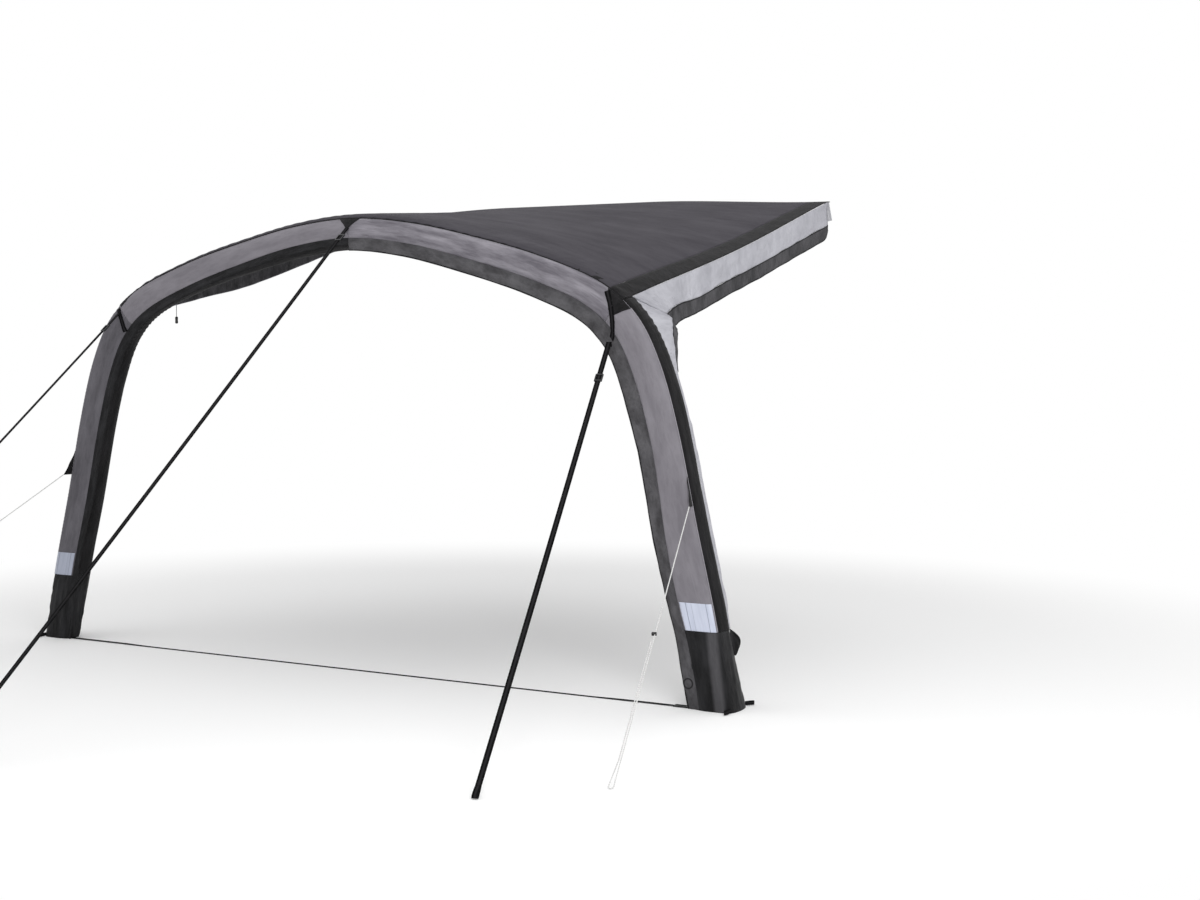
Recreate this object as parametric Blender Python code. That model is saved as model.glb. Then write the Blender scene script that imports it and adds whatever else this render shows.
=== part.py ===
"""Caravan awning: a sun canopy carried by one inflated arch, in metres.

The arch stands on two feet and a taut roof runs back from it to a rail. +X runs along the rail to the right,
+Y from the arch to the rail and +Z up, with the origin on the ground under the middle of the canopy.
"""

import math

import bmesh
import bpy
from mathutils import Matrix, Vector

for leftover in list(bpy.data.objects):
    bpy.data.objects.remove(leftover, do_unlink=True)

# Driving sizes of the arch and the roof
FOOT_HALF_SPAN = 2.02
APEX_HEIGHT = 2.178
ROOF_DEPTH = 2.135
RAIL_HALF_LENGTH = 1.595
RAIL_HEIGHT = 2.44
RAIL_CORNER_DROP = 0.038
RAIL_CORNER_LENGTH = 1.1
ROOF_SAG = 0.022

# Cloth, and the clearances of sewn seams and of layers that lie on each other
FABRIC = 0.0015
GAP = 0.0003
SEAM_GAP = 0.0008
LAYER = SEAM_GAP + FABRIC
OVERRUN = 0.01
FACET_ROOM = 0.00016

# The sleeve round the air beam, and the beam itself
SLEEVE_RADIUS = 0.086
SLEEVE_FRONT_ANGLE = math.radians(47)
LEG_LOW_ANGLE = math.radians(-46)
APEX_LOW_ANGLE = math.radians(-27)
LEG_SQUARENESS = 4.6
BEAM_SQUARENESS = 2.1
BLADDER_SIDES = 12
BLADDER_CLEARANCE = 0.0011
BLADDER_WALL = 0.0018

# Heights on the leg
BOOT_HEIGHT = 0.355
REFLECTIVE_HEIGHT = 0.125
GUY_TAB_HEIGHT = 0.895
GUY_TAB_LENGTH = 0.13

# Where the shoulder starts, turns its corner and ends, as shares of the apex height
SHOULDER_START_SHARE = 0.6336
CORNER_SHARE = 0.815
SHOULDER_END_SHARE = 0.886
CORNER_HEIGHT = CORNER_SHARE * APEX_HEIGHT

# The flap along the inner front edge of the sleeve
FLAP_LEG_WIDTH = 0.074
FLAP_APEX_WIDTH = 0.052
FLAP_SEAM_WIDTH = 0.008
FLAP_CURL = 0.006
LEFT_FLAP_SHARE = 0.5

# The boots: how much wider and deeper a sole is than the sleeve; the left one is drawn in behind and stands
# further out
FLARE_POWER = 1.5
BOOT_SOLE = 0.004
BOOT_SPREAD = 0.005
RIGHT_HEEL = 0.071
LEFT_HEEL = -0.045
LEFT_SPLAY = 0.045
SPLAY_POWER = 1.5
HEEL_TAB_LIFT = 0.0028
LEFT_HEEL_TAB_LIFT = 0.0018

# Side valance, its gusset along the leg, and the flap along its edge
EDGE_BAND_FRONT_WIDTH = 0.078
EDGE_BAND_REAR_WIDTH = 0.108
VALANCE_DROP = 0.126
GUSSET_WIDTH = 0.28
SIDE_FLAP_DROP = 0.075
FOLD_DEPTH = 0.006
SIDE_FLAP_END_HEIGHT = 1.556

# Rail end of the roof
WELT_DEPTH = 0.018
WELT_THICKNESS = 0.0024
BEAD_RADIUS = 0.0035
RAIL_TAIL_WIDTH = 0.03
RAIL_TAIL_LENGTH = 0.1
RAIL_TAIL_SLANT = 0.02

# Patches on the front
APEX_PATCH_HALF_WIDTH = 0.062
PATCH_TURN_ROWS = 3

# Webbing, its pegs on the ground, and the loops and bands that hold it
WEBBING_WIDTH = 0.025
WEBBING_THICKNESS = 0.0022
STRAP_SAG = 0.008
STORM_PEG_X = 2.0
STORM_PEG_REACH = 1.925
CENTRE_PEG_REACH = 2.635
PEG_LOOP_LENGTH = 0.05
ANCHOR_SAMPLES = 3
GROUND_STRAP_FORWARD = 0.05
GROUND_WEBBING_WIDTH = 0.02
GROUND_RISE_START = 0.37
GROUND_RISE_END = 0.55
EAR_LENGTH = 0.052
HEEL_TAB_LENGTH = 0.045
TOE_LOOP_LENGTH = 0.06
TAB_WIDTH = 0.018
TAB_THICKNESS = 0.002

# Buckles
BUCKLE_LENGTH = 0.046
BUCKLE_RAIL = 0.0045
BUCKLE_BAR = 0.007
BUCKLE_PLATE = 0.002
BUCKLE_CLEARANCE = 0.0009
BUCKLE_EDGE = 0.0008
GROUND_BUCKLE_LENGTH = 0.075
GROUND_BUCKLE_X = 1.844
RIGHT_BUCKLE_PLACE = 0.24
LEFT_BUCKLE_PLACE = 0.115
CENTRE_BUCKLE_PLACE = 0.075

# Guy lines and their runners
GUY_RADIUS = 0.0025
GUY_SAG = 0.004
GUY_SPACING = 0.0085
GUY_PEG_X = 2.354
GUY_PEG_REACH = 1.545
GUY_LOOP_RADIUS = 0.01
GUY_TAB_REACH = 0.052
GUY_TAB_LEAN = 0.01
RUNNER_PLACE = 0.86
RUNNER_WIDTH = 0.02
RUNNER_DEPTH = 0.012
RUNNER_THICKNESS = 0.012
RUNNER_CLEARANCE = 0.0009

# Valve on the right leg
VALVE_HEIGHT = 0.115
VALVE_ANGLE = math.radians(-82)
VALVE_STEM_RADIUS = 0.017
VALVE_BORE_RADIUS = 0.0115
VALVE_FLANGE_RADIUS = 0.024
VALVE_FLANGE_THICKNESS = 0.003
VALVE_NECK_HEIGHT = 0.007
VALVE_STEM_LENGTH = 0.024
VALVE_CAP_WALL = 0.0025
VALVE_CLEARANCE = 0.0005
VALVE_GRIP_HEIGHT = 0.006
VALVE_GRIP_THICKNESS = 0.005

# Pull cord under the left side of the beam
PULL_CORD_X = 1.28
PULL_CORD_RADIUS = 0.0015
PULL_CORD_LENGTH = 0.066
PULL_TOGGLE_RADIUS = 0.008
PULL_TOGGLE_LENGTH = 0.037

# The arch's plane, half of what the canopy reaches back from it further than it bulges forward
ARCH_Y = (SLEEVE_RADIUS + LAYER - ROOF_DEPTH - BEAD_RADIUS) / 2
RAIL_Y = ARCH_Y + ROOF_DEPTH

# The line of the beam's centre from the foot to the apex, as shares of the half span and of the apex height
SPINE_SHARES = (
    (1.0, 0.0), (0.965, 0.184), (0.918, 0.367), (0.874, 0.551), (0.829, 0.689), (0.772, 0.787),
    (0.680, 0.855), (0.520, 0.911), (0.3465, 0.953), (0.173, 0.986), (0.0, 1.0),
)
# The gusset's width along the leg, as shares of the corner's height and of the gusset's full width
GUSSET_SHARES = ((0.2, 0.07), (0.25, 0.125), (0.45, 0.143), (0.65, 0.145), (0.79, 0.15), (0.87, 0.3),
                 (0.935, 0.66), (0.985, 1.0), (1.05, 1.0))
# The valance's lower edge from the rail to the corner: place along the side, and its step back and down as
# shares of the drop
VALANCE_SHARES = ((1.0, 0.0, 1.0), (0.992, 0.0, 1.0), (0.98, 0.0, 1.0), (0.86, 0.0, 1.0), (0.72, 0.0, 1.0),
                  (0.58, 0.0, 1.0), (0.45, 0.0, 1.0), (0.30, 0.1, 1.08), (0.18, 0.63, 0.9), (0.06, 1.81, 0.6))
CORNER_VALANCE_SHARES = (0.1, 2.38, 0.58)
# The same on the left, where the gusset is narrow and the flap is turned up inside
LEFT_VALANCE_SHARES = ((1.0, 0.0, 1.0), (0.992, 0.0, 1.0), (0.98, 0.0, 1.0), (0.86, 0.0, 1.0),
                       (0.72, 0.0, 1.0), (0.58, 0.0, 1.0), (0.45, 0.0, 0.98), (0.30, 0.0, 0.84),
                       (0.18, 0.16, 0.74), (0.06, 0.66, 0.53))
LEFT_CORNER_SHARES = (0.1, 0.65, 0.62)
LEFT_GUSSET_SHARES = ((0.2, 0.07), (0.25, 0.125), (1.05, 0.15))
TURNED_UP_PAIRS = 9
GUSSET_LEAN_SHARE = 0.15
# How far the valance's lower edge waves out at each of those places, as shares of the fold's depth
FOLD_SHARES = (0.0, 0.0, 0.1, 0.6, -0.5, 0.7, -0.6, 0.5, 0.0, 0.0)
# The flap's step back and down under each of those points, and at the corner, as shares of its drop
SIDE_FLAP_SHARES = ((0.0, 0.35), (0.0, 0.8), (0.0, 0.97), (0.0, 1.0), (0.0, 1.0), (0.0, 1.0), (0.0, 1.0),
                    (0.0, 1.0), (0.25, 1.0), (0.75, 0.9), (0.95, 0.35))
SIDE_FLAP_LEAN_SHARE = 0.1
# The front flap's width up the leg, from the sole to the corner; it is widest over the valve
FLAP_LEG_SHARES = ((0.0, 0.65), (0.06, 1.0), (0.13, 1.35), (0.26, 1.2), (0.4, 1.14), (0.64, 1.0), (1.0, 1.0))
# Where the front's own pieces lie across it, in columns of the grey panel
BAND_COLUMN_SHARES = (0.6, 1, 2, 3, 4, 5, 5.8)
# Columns of the shoulder patches, each with where it starts and ends along the beam from the corner, in radii
# of the sleeve
SHOULDER_PATCH_SHARES = {
    "right": ((4, -0.35, -0.09), (5, -0.44, 0.21), (5.9, -0.56, 0.52)),
    "left": ((5, 0.23, 0.64), (5.5, 0.21, 0.93), (5.9, 0.19, 1.16)),
}
APEX_PATCH_COLUMN_SHARES = ((5.9, 1.0), (5, 0.72), (4, 0.4), (3, 0.12))
CENTRE_STRAP_COLUMN_SHARE = 3
# The webbing bands on the front: steps out and up from the beam's centre at the corner, in radii of the sleeve
ANCHOR_STEP_SHARES = {
    "right": ((-0.337, 1.093), (-0.081, 0.349), (0.023, -0.465), (-0.047, -1.163), (-0.244, -1.826)),
    "left": ((0.488, 0.419), (0.163, -0.407), (-0.023, -1.0)),
}
GUY_TAB_COLUMN_SHARE = 6
# How far the guy tab stands off the leg at its foot, its middle and its top
GUY_TAB_SHARES = (1.0, 0.55, 0.06)
# A webbing loop, as shares of its length and of the webbing's thickness
LOOP_SHARES = ((0.0, 0.5), (0.35, 1.5), (0.7, 2.1), (0.91, 1.7), (1.0, 0.55))
EAR_SHARES = (0.08, 1.0, 0.08)
EAR_STEP_SHARES = (0.4, 0.92, 0)
HEEL_TAB_SHARES = (0.6, 0.8, 0)
PULL_SEAT_SHARE = 0.7
TOGGLE_SHARES = ((0.45, 0.0), (0.85, 0.05), (1.0, 0.15), (0.9, 0.5), (1.0, 0.85), (0.85, 0.95), (0.45, 1.0))


def material(name, colour, roughness, metallic=0.0):
    made = bpy.data.materials.new(name)
    made.use_nodes = True
    shader = made.node_tree.nodes["Principled BSDF"]
    shader.inputs["Base Color"].default_value = (*colour, 1)
    shader.inputs["Roughness"].default_value = roughness
    shader.inputs["Metallic"].default_value = metallic
    return made


GREY_CLOTH = material("grey_cloth", (0.25, 0.24, 0.26), 0.75)
CHARCOAL_CLOTH = material("charcoal_cloth", (0.07, 0.07, 0.075), 0.8)
ROOF_CLOTH = material("roof_cloth", (0.10, 0.09, 0.11), 0.7)
BLACK_CLOTH = material("black_cloth", (0.02, 0.02, 0.022), 0.85)
LIGHT_CLOTH = material("light_cloth", (0.58, 0.58, 0.63), 0.75)
REFLECTIVE = material("reflective", (0.55, 0.57, 0.62), 0.35)
BLACK_WEBBING = material("black_webbing", (0.015, 0.015, 0.015), 0.8)
LIGHT_WEBBING = material("light_webbing", (0.5, 0.5, 0.52), 0.8)
LIGHT_CORD = material("light_cord", (0.75, 0.75, 0.75), 0.7)
BLACK_PLASTIC = material("black_plastic", (0.012, 0.012, 0.012), 0.4)
BLADDER_FILM = material("bladder_film", (0.5, 0.52, 0.55), 0.3)
RAIL_PLASTIC = material("rail_plastic", (0.7, 0.7, 0.7), 0.5)

SIDES = (("right", 1), ("left", -1))
HEELS = {"right": RIGHT_HEEL, "left": LEFT_HEEL}
HEEL_TAB_LIFTS = {"right": HEEL_TAB_LIFT, "left": LEFT_HEEL_TAB_LIFT}


# Curves and blends

def share_between(low, high, value):
    return min(max((value - low) / (high - low), 0.0), 1.0)


def eased(share):
    return share * share * (3 - 2 * share)


def mix(a, b, share):
    return a + (b - a) * share


def read_table(table, place):
    """The second value of a table of pairs at a place between its first values."""
    for (low, before), (high, after) in zip(table, table[1:]):
        if place <= high:
            return mix(before, after, share_between(low, high, place))
    return table[-1][1]


def smooth_line(points, samples):
    """A Catmull-Rom curve through the points, which ends at their first and last."""
    ghosts = [points[0] * 2 - points[1], *points, points[-1] * 2 - points[-2]]
    line = []
    for a, b, c, d in zip(ghosts, ghosts[1:], ghosts[2:], ghosts[3:]):
        for step in range(samples):
            t = step / samples
            curve = (2 * a - 5 * b + 4 * c - d) * t**2 + (3 * b - a - 3 * c + d) * t**3
            line.append((2 * b + (c - a) * t + curve) / 2)
    return [*line, points[-1].copy()]


def taut_line(start, end, sag, count):
    """Points along a line that is pulled tight and sags a little in the middle."""
    shares = [i / (count - 1) for i in range(count)]
    return [mix(start, end, s) - Vector((0, 0, 4 * sag * s * (1 - s))) for s in shares]


# The spine of the arch

SPINE_SAMPLES = 24
SPINE_POINTS = [Vector((x * FOOT_HALF_SPAN, z * APEX_HEIGHT)) for x, z in SPINE_SHARES]
BEYOND_APEX = Vector((-SPINE_POINTS[-2].x, SPINE_POINTS[-2].y))
SPINE = smooth_line([*SPINE_POINTS, BEYOND_APEX], SPINE_SAMPLES)[:-SPINE_SAMPLES]
SPINE_LENGTHS = [0.0]
for here, there in zip(SPINE, SPINE[1:]):
    SPINE_LENGTHS.append(SPINE_LENGTHS[-1] + (there - here).length)
APEX_STATION = SPINE_LENGTHS[-1]


def spine_at(station):
    """The beam's centre (x, z) and its direction at a distance along the arch from the right foot's sole."""
    station = min(max(station, 0.0), APEX_STATION)
    high = next((i for i, length in enumerate(SPINE_LENGTHS) if length > station), len(SPINE) - 1)
    share = share_between(SPINE_LENGTHS[high - 1], SPINE_LENGTHS[high], station)
    before = SPINE[max(high - 2, 0)]
    after = SPINE[high + 1] if high + 1 < len(SPINE) else Vector((-SPINE[-2].x, SPINE[-2].y))
    start = (SPINE[high] - before).normalized()
    end = (after - SPINE[high - 1]).normalized()
    return mix(SPINE[high - 1], SPINE[high], share), mix(start, end, share).normalized()


def station_at_height(height):
    for low, high, a, b in zip(SPINE, SPINE[1:], SPINE_LENGTHS, SPINE_LENGTHS[1:]):
        if high.y >= height:
            return mix(a, b, share_between(low.y, high.y, height))
    return APEX_STATION


BOOT_STATION = station_at_height(BOOT_HEIGHT)
REFLECTIVE_STATION = station_at_height(BOOT_HEIGHT + REFLECTIVE_HEIGHT)
GUY_TAB_STATION = station_at_height(GUY_TAB_HEIGHT)
GUY_TAB_END = station_at_height(GUY_TAB_HEIGHT + GUY_TAB_LENGTH)
SHOULDER_START = station_at_height(SHOULDER_START_SHARE * APEX_HEIGHT)
CORNER_STATION = station_at_height(CORNER_HEIGHT)
BAND_STATION = CORNER_STATION + EDGE_BAND_FRONT_WIDTH
SHOULDER_END = station_at_height(SHOULDER_END_SHARE * APEX_HEIGHT)


def spread(start, end, count):
    """Places from the start up to, but without, the end."""
    return [mix(start, end, i / count) for i in range(count)]


BOOT_ROWS = 6
STATIONS = [
    *spread(0.0, BOOT_STATION, BOOT_ROWS),
    *spread(BOOT_STATION, REFLECTIVE_STATION, 1),
    *spread(REFLECTIVE_STATION, GUY_TAB_STATION, 3),
    *spread(GUY_TAB_STATION, GUY_TAB_END, 1),
    *spread(GUY_TAB_END, SHOULDER_START, 2),
    *spread(SHOULDER_START, CORNER_STATION, 5),
    *spread(CORNER_STATION, BAND_STATION, 1),
    *spread(BAND_STATION, SHOULDER_END, 4),
    *spread(SHOULDER_END, APEX_STATION, 7),
    APEX_STATION,
]


def outward_at(station):
    """The direction in the arch's plane that points away from the space under it, level up to the band."""
    _, direction = spine_at(station)
    square = Vector((direction.y, -direction.x))
    return mix(Vector((1, 0)), square, eased(share_between(REFLECTIVE_STATION, GUY_TAB_STATION, station))).normalized()


def sleeve_reach(station, angle):
    """The sleeve's radius: round behind, and squarer in front on the legs than on the beam."""
    if math.cos(angle) <= 0:
        return SLEEVE_RADIUS
    power = mix(LEG_SQUARENESS, BEAM_SQUARENESS, eased(share_between(SHOULDER_START, SHOULDER_END, station)))
    return SLEEVE_RADIUS / (abs(math.sin(angle)) ** power + abs(math.cos(angle)) ** power) ** (1 / power)


def place_on(station, side, forward):
    """The point beside the beam's centre, so far outward and so far forward."""
    centre, _ = spine_at(station)
    outward = outward_at(station)
    return Vector((centre.x + outward.x * side, ARCH_Y - forward, centre.y + outward.y * side))


def flare(station):
    """How much of the foot's flare there is at a station: all of it at the sole, none at the boot's top."""
    return (1 - share_between(0.0, BOOT_STATION, station)) ** FLARE_POWER


def heel_shift(station, angle, heel):
    """How far the back of the foot stands out."""
    return flare(station) * heel * min(math.cos(angle), 0.0)


def section(station, angle, lift=0.0, heel=RIGHT_HEEL):
    """A point on the sleeve or the boot. The angle turns from forward to outward, and lift stands off it."""
    reach = sleeve_reach(station, angle) + lift
    side = (reach + flare(station) * BOOT_SPREAD) * math.sin(angle)
    return place_on(station, side, reach * math.cos(angle) + heel_shift(station, angle, heel))


def low_angle(station):
    """Where the grey front ends towards the space under the arch."""
    return mix(LEG_LOW_ANGLE, APEX_LOW_ANGLE, eased(share_between(CORNER_STATION, APEX_STATION, station)))


SEAM_ANGLE = SEAM_GAP / SLEEVE_RADIUS
FRONT_COLUMNS = 7
BACK_COLUMNS = 19


def front_angle(station, column):
    """The angle of a column of the front panel, from the flap's seam to the roof's."""
    low = low_angle(station) + SEAM_ANGLE / 2
    high = SLEEVE_FRONT_ANGLE - SEAM_ANGLE / 2
    return mix(low, high, column / (FRONT_COLUMNS - 1))


def back_angle(station, column):
    """The angle of a column of the back panel, from the roof's seam round behind to the flap's seam."""
    low = SLEEVE_FRONT_ANGLE + SEAM_ANGLE / 2
    high = math.tau + low_angle(station) - SEAM_ANGLE / 2
    return mix(low, high, column / (BACK_COLUMNS - 1))


def flap_width(station):
    on_leg = FLAP_LEG_WIDTH * read_table(FLAP_LEG_SHARES, station / CORNER_STATION)
    return mix(on_leg, FLAP_APEX_WIDTH, share_between(CORNER_STATION, APEX_STATION, station))


def stations_between(start, end):
    inside = [s for s in STATIONS if start + SEAM_GAP < s < end - SEAM_GAP]
    return [start + SEAM_GAP / 2, *inside, end - SEAM_GAP / 2]


# Making shapes

def node(name, build, finish, placement=None):
    """An object whose mesh is built in its own frame, and then stands at its placement."""
    bm = bmesh.new()
    build(bm)
    if bm.calc_volume(signed=True) < 0:
        bmesh.ops.reverse_faces(bm, faces=bm.faces)
    mesh = bpy.data.meshes.new(name)
    bm.to_mesh(mesh)
    bm.free()
    mesh.shade_smooth()
    mesh.set_sharp_from_angle(angle=math.radians(35))
    made = bpy.data.objects.new(name, mesh)
    bpy.context.scene.collection.objects.link(made)
    mesh.materials.append(finish)
    if placement is not None:
        made.matrix_world = placement
    return made


def shell(bm, outer, inner):
    """A closed sheet between two grids of points, its outer and its inner face."""
    columns = len(outer[0])
    number = bm.verts.layers.int.new("number")
    bmesh.ops.create_grid(bm, x_segments=columns - 1, y_segments=len(outer) - 1, size=1)
    ordered = sorted(bm.verts, key=lambda corner: (round(corner.co.y, 4), round(corner.co.x, 4)))
    for index, corner in enumerate(ordered):
        corner[number] = index
    for made in bmesh.ops.extrude_face_region(bm, geom=bm.faces[:])["geom"]:
        if isinstance(made, bmesh.types.BMVert):
            made.co = inner[made[number] // columns][made[number] % columns]
    for index, corner in enumerate(ordered):
        corner.co = outer[index // columns][index % columns]
    bmesh.ops.recalc_face_normals(bm, faces=bm.faces)


def loft(bm, rings):
    """A closed body through rings of as many points each, and its faces."""
    first = bmesh.ops.create_circle(bm, cap_ends=True, segments=len(rings[0]), radius=1)["verts"]
    face = first[0].link_faces[0]
    for corner, point in zip(face.verts, rings[0]):
        corner.co = point
    base = face
    for ring in rings[1:]:
        made = bmesh.ops.extrude_face_region(bm, geom=[face])["geom"]
        if face is not base:
            bmesh.ops.delete(bm, geom=[face], context="FACES_ONLY")
        face = next(piece for piece in made if isinstance(piece, bmesh.types.BMFace))
        for corner, point in zip(face.verts, ring):
            corner.co = point
    reached = {face}
    growing = [face]
    while growing:
        for edge in growing.pop().edges:
            fresh = [near for near in edge.link_faces if near not in reached]
            reached.update(fresh)
            growing.extend(fresh)
    faces = list(reached)
    bmesh.ops.recalc_face_normals(bm, faces=faces)
    return faces


def on_the_left(point):
    """The place on the left that answers to a point on the right; the left leg leans out towards its foot."""
    drop = 1 - share_between(0.0, CORNER_HEIGHT, point.z)
    return Vector((-point.x - LEFT_SPLAY * drop**SPLAY_POWER, point.y, point.z))


def mirror(bm):
    for corner in bm.verts:
        corner.co = on_the_left(corner.co)
    bmesh.ops.reverse_faces(bm, faces=bm.faces)


def sheet(name, outer, inner, finish, side=1):
    """A cloth piece, given for the right side; side -1 makes its mirror image."""
    def build(bm):
        shell(bm, outer, inner)
        if side < 0:
            mirror(bm)

    return node(name, build, finish)


def sleeve_sheet(name, start, end, columns, angle_of, finish, side, lift=0.0, thickness=FABRIC):
    """A cloth piece that lies round the sleeve, between two stations and over the given columns."""
    def rows(height):
        return [[section(s, angle_of(s, c), height) for c in columns] for s in stations_between(start, end)]

    return sheet(name, rows(lift), rows(lift - thickness), finish, side)


def ribbon(name, points, across, width, thickness, finish, side=1):
    """Webbing that follows points, with its width along the direction across."""
    rings = []
    for i, point in enumerate(points):
        ahead = (points[min(i + 1, len(points) - 1)] - points[max(i - 1, 0)]).normalized()
        broad = (across - ahead * across.dot(ahead)).normalized() * width / 2
        thick = ahead.cross(broad).normalized() * thickness / 2
        low, high = point - thick, point + thick
        rings.append([low - broad, low + broad, high + broad, high - broad])

    def build(bm):
        loft(bm, rings)
        if side < 0:
            mirror(bm)

    return node(name, build, finish)


def block(bm, size, edge):
    """A box with small bevels, about the origin."""
    bmesh.ops.create_cube(bm, size=1)
    bmesh.ops.scale(bm, vec=size, verts=bm.verts)
    if edge:
        bmesh.ops.bevel(bm, geom=bm.edges[:], offset=edge, segments=1, affect="EDGES", profile=0.5)


def turned(bm, outline, sides):
    """A body turned about Z from a closed outline of (radius, height) points."""
    corners = [bm.verts.new((radius, 0, height)) for radius, height in outline]
    edges = [bm.edges.new(pair) for pair in zip(corners, [*corners[1:], corners[0]])]
    bmesh.ops.spin(bm, geom=[*corners, *edges], axis=(0, 0, 1), cent=(0, 0, 0), angle=math.tau, steps=sides,
                   use_merge=True)
    bmesh.ops.recalc_face_normals(bm, faces=bm.faces)


def cut(made, cutter):
    cutter.hide_render = True
    cutter.display_type = "WIRE"
    trim = made.modifiers.new(cutter.name, "BOOLEAN")
    trim.operation = "DIFFERENCE"
    trim.object = cutter


def frame_at(origin, across, along):
    """A placement with X across, Y along and Z square to both."""
    across = (across - along * across.dot(along)).normalized()
    along = along.normalized()
    return Matrix.Translation(origin) @ Matrix((across, along, across.cross(along))).transposed().to_4x4()


# Sleeve: grey front panels, dark back panels, and the reflective band above the boot

front_columns = range(FRONT_COLUMNS)
back_columns = range(BACK_COLUMNS)
for hand, side in SIDES:
    for part, start, end in (("leg", BOOT_STATION, CORNER_STATION), ("beam", CORNER_STATION, APEX_STATION)):
        sleeve_sheet(f"front_panel_{part}_{hand}", start, end, front_columns, front_angle, GREY_CLOTH, side)
        sleeve_sheet(f"sleeve_{part}_{hand}", start, end, back_columns, back_angle, CHARCOAL_CLOTH, side)
    sleeve_sheet(f"reflective_band_{hand}", BOOT_STATION, REFLECTIVE_STATION, BAND_COLUMN_SHARES, front_angle,
                 REFLECTIVE, side, LAYER)


# The flap along the inner edge of the front

def flap_rows(height, width_share):
    rows = []
    for station in stations_between(0.0, APEX_STATION):
        low = low_angle(station) + SEAM_ANGLE / 2
        over = low + FLAP_SEAM_WIDTH / SLEEVE_RADIUS
        seam = section(station, low, height)
        outward = outward_at(station)
        inward = Vector((-outward.x, 0, -outward.y)) * flap_width(station) * width_share
        curl = Vector((0, FLAP_CURL, 0))
        hanging = [seam, seam + inward / 2 + curl / 4, seam + inward + curl]
        rows.append([section(station, over, height), *hanging])
    return rows


for hand, side, width_share in (("right", 1, 1.0), ("left", -1, LEFT_FLAP_SHARE)):
    outer, inner = flap_rows(LAYER, width_share), flap_rows(SEAM_GAP, width_share)
    sheet(f"front_flap_{hand}", outer, inner, CHARCOAL_CLOTH, side)


# Boots: a cup of heavy cloth with a flat sole round the foot of the beam

def boot_ring(station, lift, heel):
    front = [section(station, front_angle(station, c), lift, heel) for c in front_columns]
    back = [section(station, back_angle(station, c), lift, heel) for c in back_columns[1:-1]]
    return [*front, *back]


boot_stations = [*STATIONS[:BOOT_ROWS], BOOT_STATION - SEAM_GAP / 2]
boot_inside = [*boot_stations[:0:-1], BOOT_SOLE]
boots = {}
for hand, side in SIDES:
    def build_boot(bm):
        outside = [boot_ring(s, 0.0, HEELS[hand]) for s in boot_stations]
        loft(bm, [*outside, *[boot_ring(s, -FABRIC, HEELS[hand]) for s in boot_inside]])
        if side < 0:
            mirror(bm)

    boots[hand] = node(f"boot_{hand}", build_boot, BLACK_CLOTH)


# Air beam: one inflated tube from foot to foot

BLADDER_RADIUS = SLEEVE_RADIUS - FABRIC - BLADDER_CLEARANCE


def bladder_ring(station, radius, heel):
    ring = []
    for i in range(BLADDER_SIDES):
        turn = math.tau * i / BLADDER_SIDES
        forward = radius * math.cos(turn) + heel_shift(station, turn, min(heel, 0.0))
        ring.append(place_on(station, radius * math.sin(turn), forward))
    return ring


def bladder_rings(inset):
    radius = BLADDER_RADIUS - inset
    half = [BOOT_SOLE + BLADDER_CLEARANCE + inset, *[s for s in STATIONS[1:] if s < APEX_STATION - SEAM_GAP]]
    right = [bladder_ring(s, radius, RIGHT_HEEL) for s in half]
    left = [[on_the_left(p) for p in bladder_ring(s, radius, LEFT_HEEL)] for s in reversed(half)]
    return [*right, bladder_ring(APEX_STATION, radius, RIGHT_HEEL), *left]


def build_air_beam(bm):
    loft(bm, bladder_rings(0.0))
    bmesh.ops.reverse_faces(bm, faces=loft(bm, bladder_rings(BLADDER_WALL)))


air_beam = node("air_beam", build_air_beam, BLADDER_FILM)


# Valve in the right boot

valve_station = station_at_height(VALVE_HEIGHT)
valve_centre = place_on(valve_station, 0.0, 0.0)
valve_seat = section(valve_station, VALVE_ANGLE)
valve_axis = (valve_seat - valve_centre).normalized()
flange_reach = VALVE_FLANGE_RADIUS / SLEEVE_RADIUS
near_seat = [
    section(valve_station + VALVE_FLANGE_RADIUS * u, VALVE_ANGLE + flange_reach * v)
    for u in (-1, 0, 1) for v in (-1, 0, 1)
]
seat_distance = max((point - valve_seat).dot(valve_axis) for point in near_seat)
valve_origin = valve_seat + valve_axis * (seat_distance + GAP)
valve_placement = Matrix.Translation(valve_origin) @ valve_axis.to_track_quat("Z", "X").to_matrix().to_4x4()


def build_valve_body(bm):
    top = VALVE_FLANGE_THICKNESS + VALVE_NECK_HEIGHT
    turned(bm, (
        (VALVE_BORE_RADIUS, -VALVE_STEM_LENGTH), (VALVE_STEM_RADIUS, -VALVE_STEM_LENGTH),
        (VALVE_STEM_RADIUS, 0), (VALVE_FLANGE_RADIUS, 0),
        (VALVE_FLANGE_RADIUS, VALVE_FLANGE_THICKNESS), (VALVE_STEM_RADIUS, VALVE_FLANGE_THICKNESS),
        (VALVE_STEM_RADIUS, top), (VALVE_BORE_RADIUS, top),
    ), 24)


def build_valve_cap(bm):
    inside = VALVE_STEM_RADIUS + VALVE_CLEARANCE
    low = VALVE_FLANGE_THICKNESS + GAP
    ceiling = VALVE_FLANGE_THICKNESS + VALVE_NECK_HEIGHT + GAP
    top = ceiling + VALVE_CAP_WALL
    outside = inside + VALVE_CAP_WALL
    half_grip = VALVE_GRIP_THICKNESS / 2
    turn = [math.tau * i / 24 for i in range(24)]

    def ring(radius, height):
        return [Vector((radius * math.cos(t), radius * math.sin(t), height)) for t in turn]

    def grip_ring(height):
        wide = ring(outside, height)
        return [Vector((p.x, max(min(p.y, half_grip), -half_grip), height)) for p in wide]

    loft(bm, [ring(inside / 2, ceiling), ring(inside, ceiling), ring(inside, low), ring(outside, low),
              ring(outside, top), grip_ring(top), grip_ring(top + VALVE_GRIP_HEIGHT)])


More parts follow.
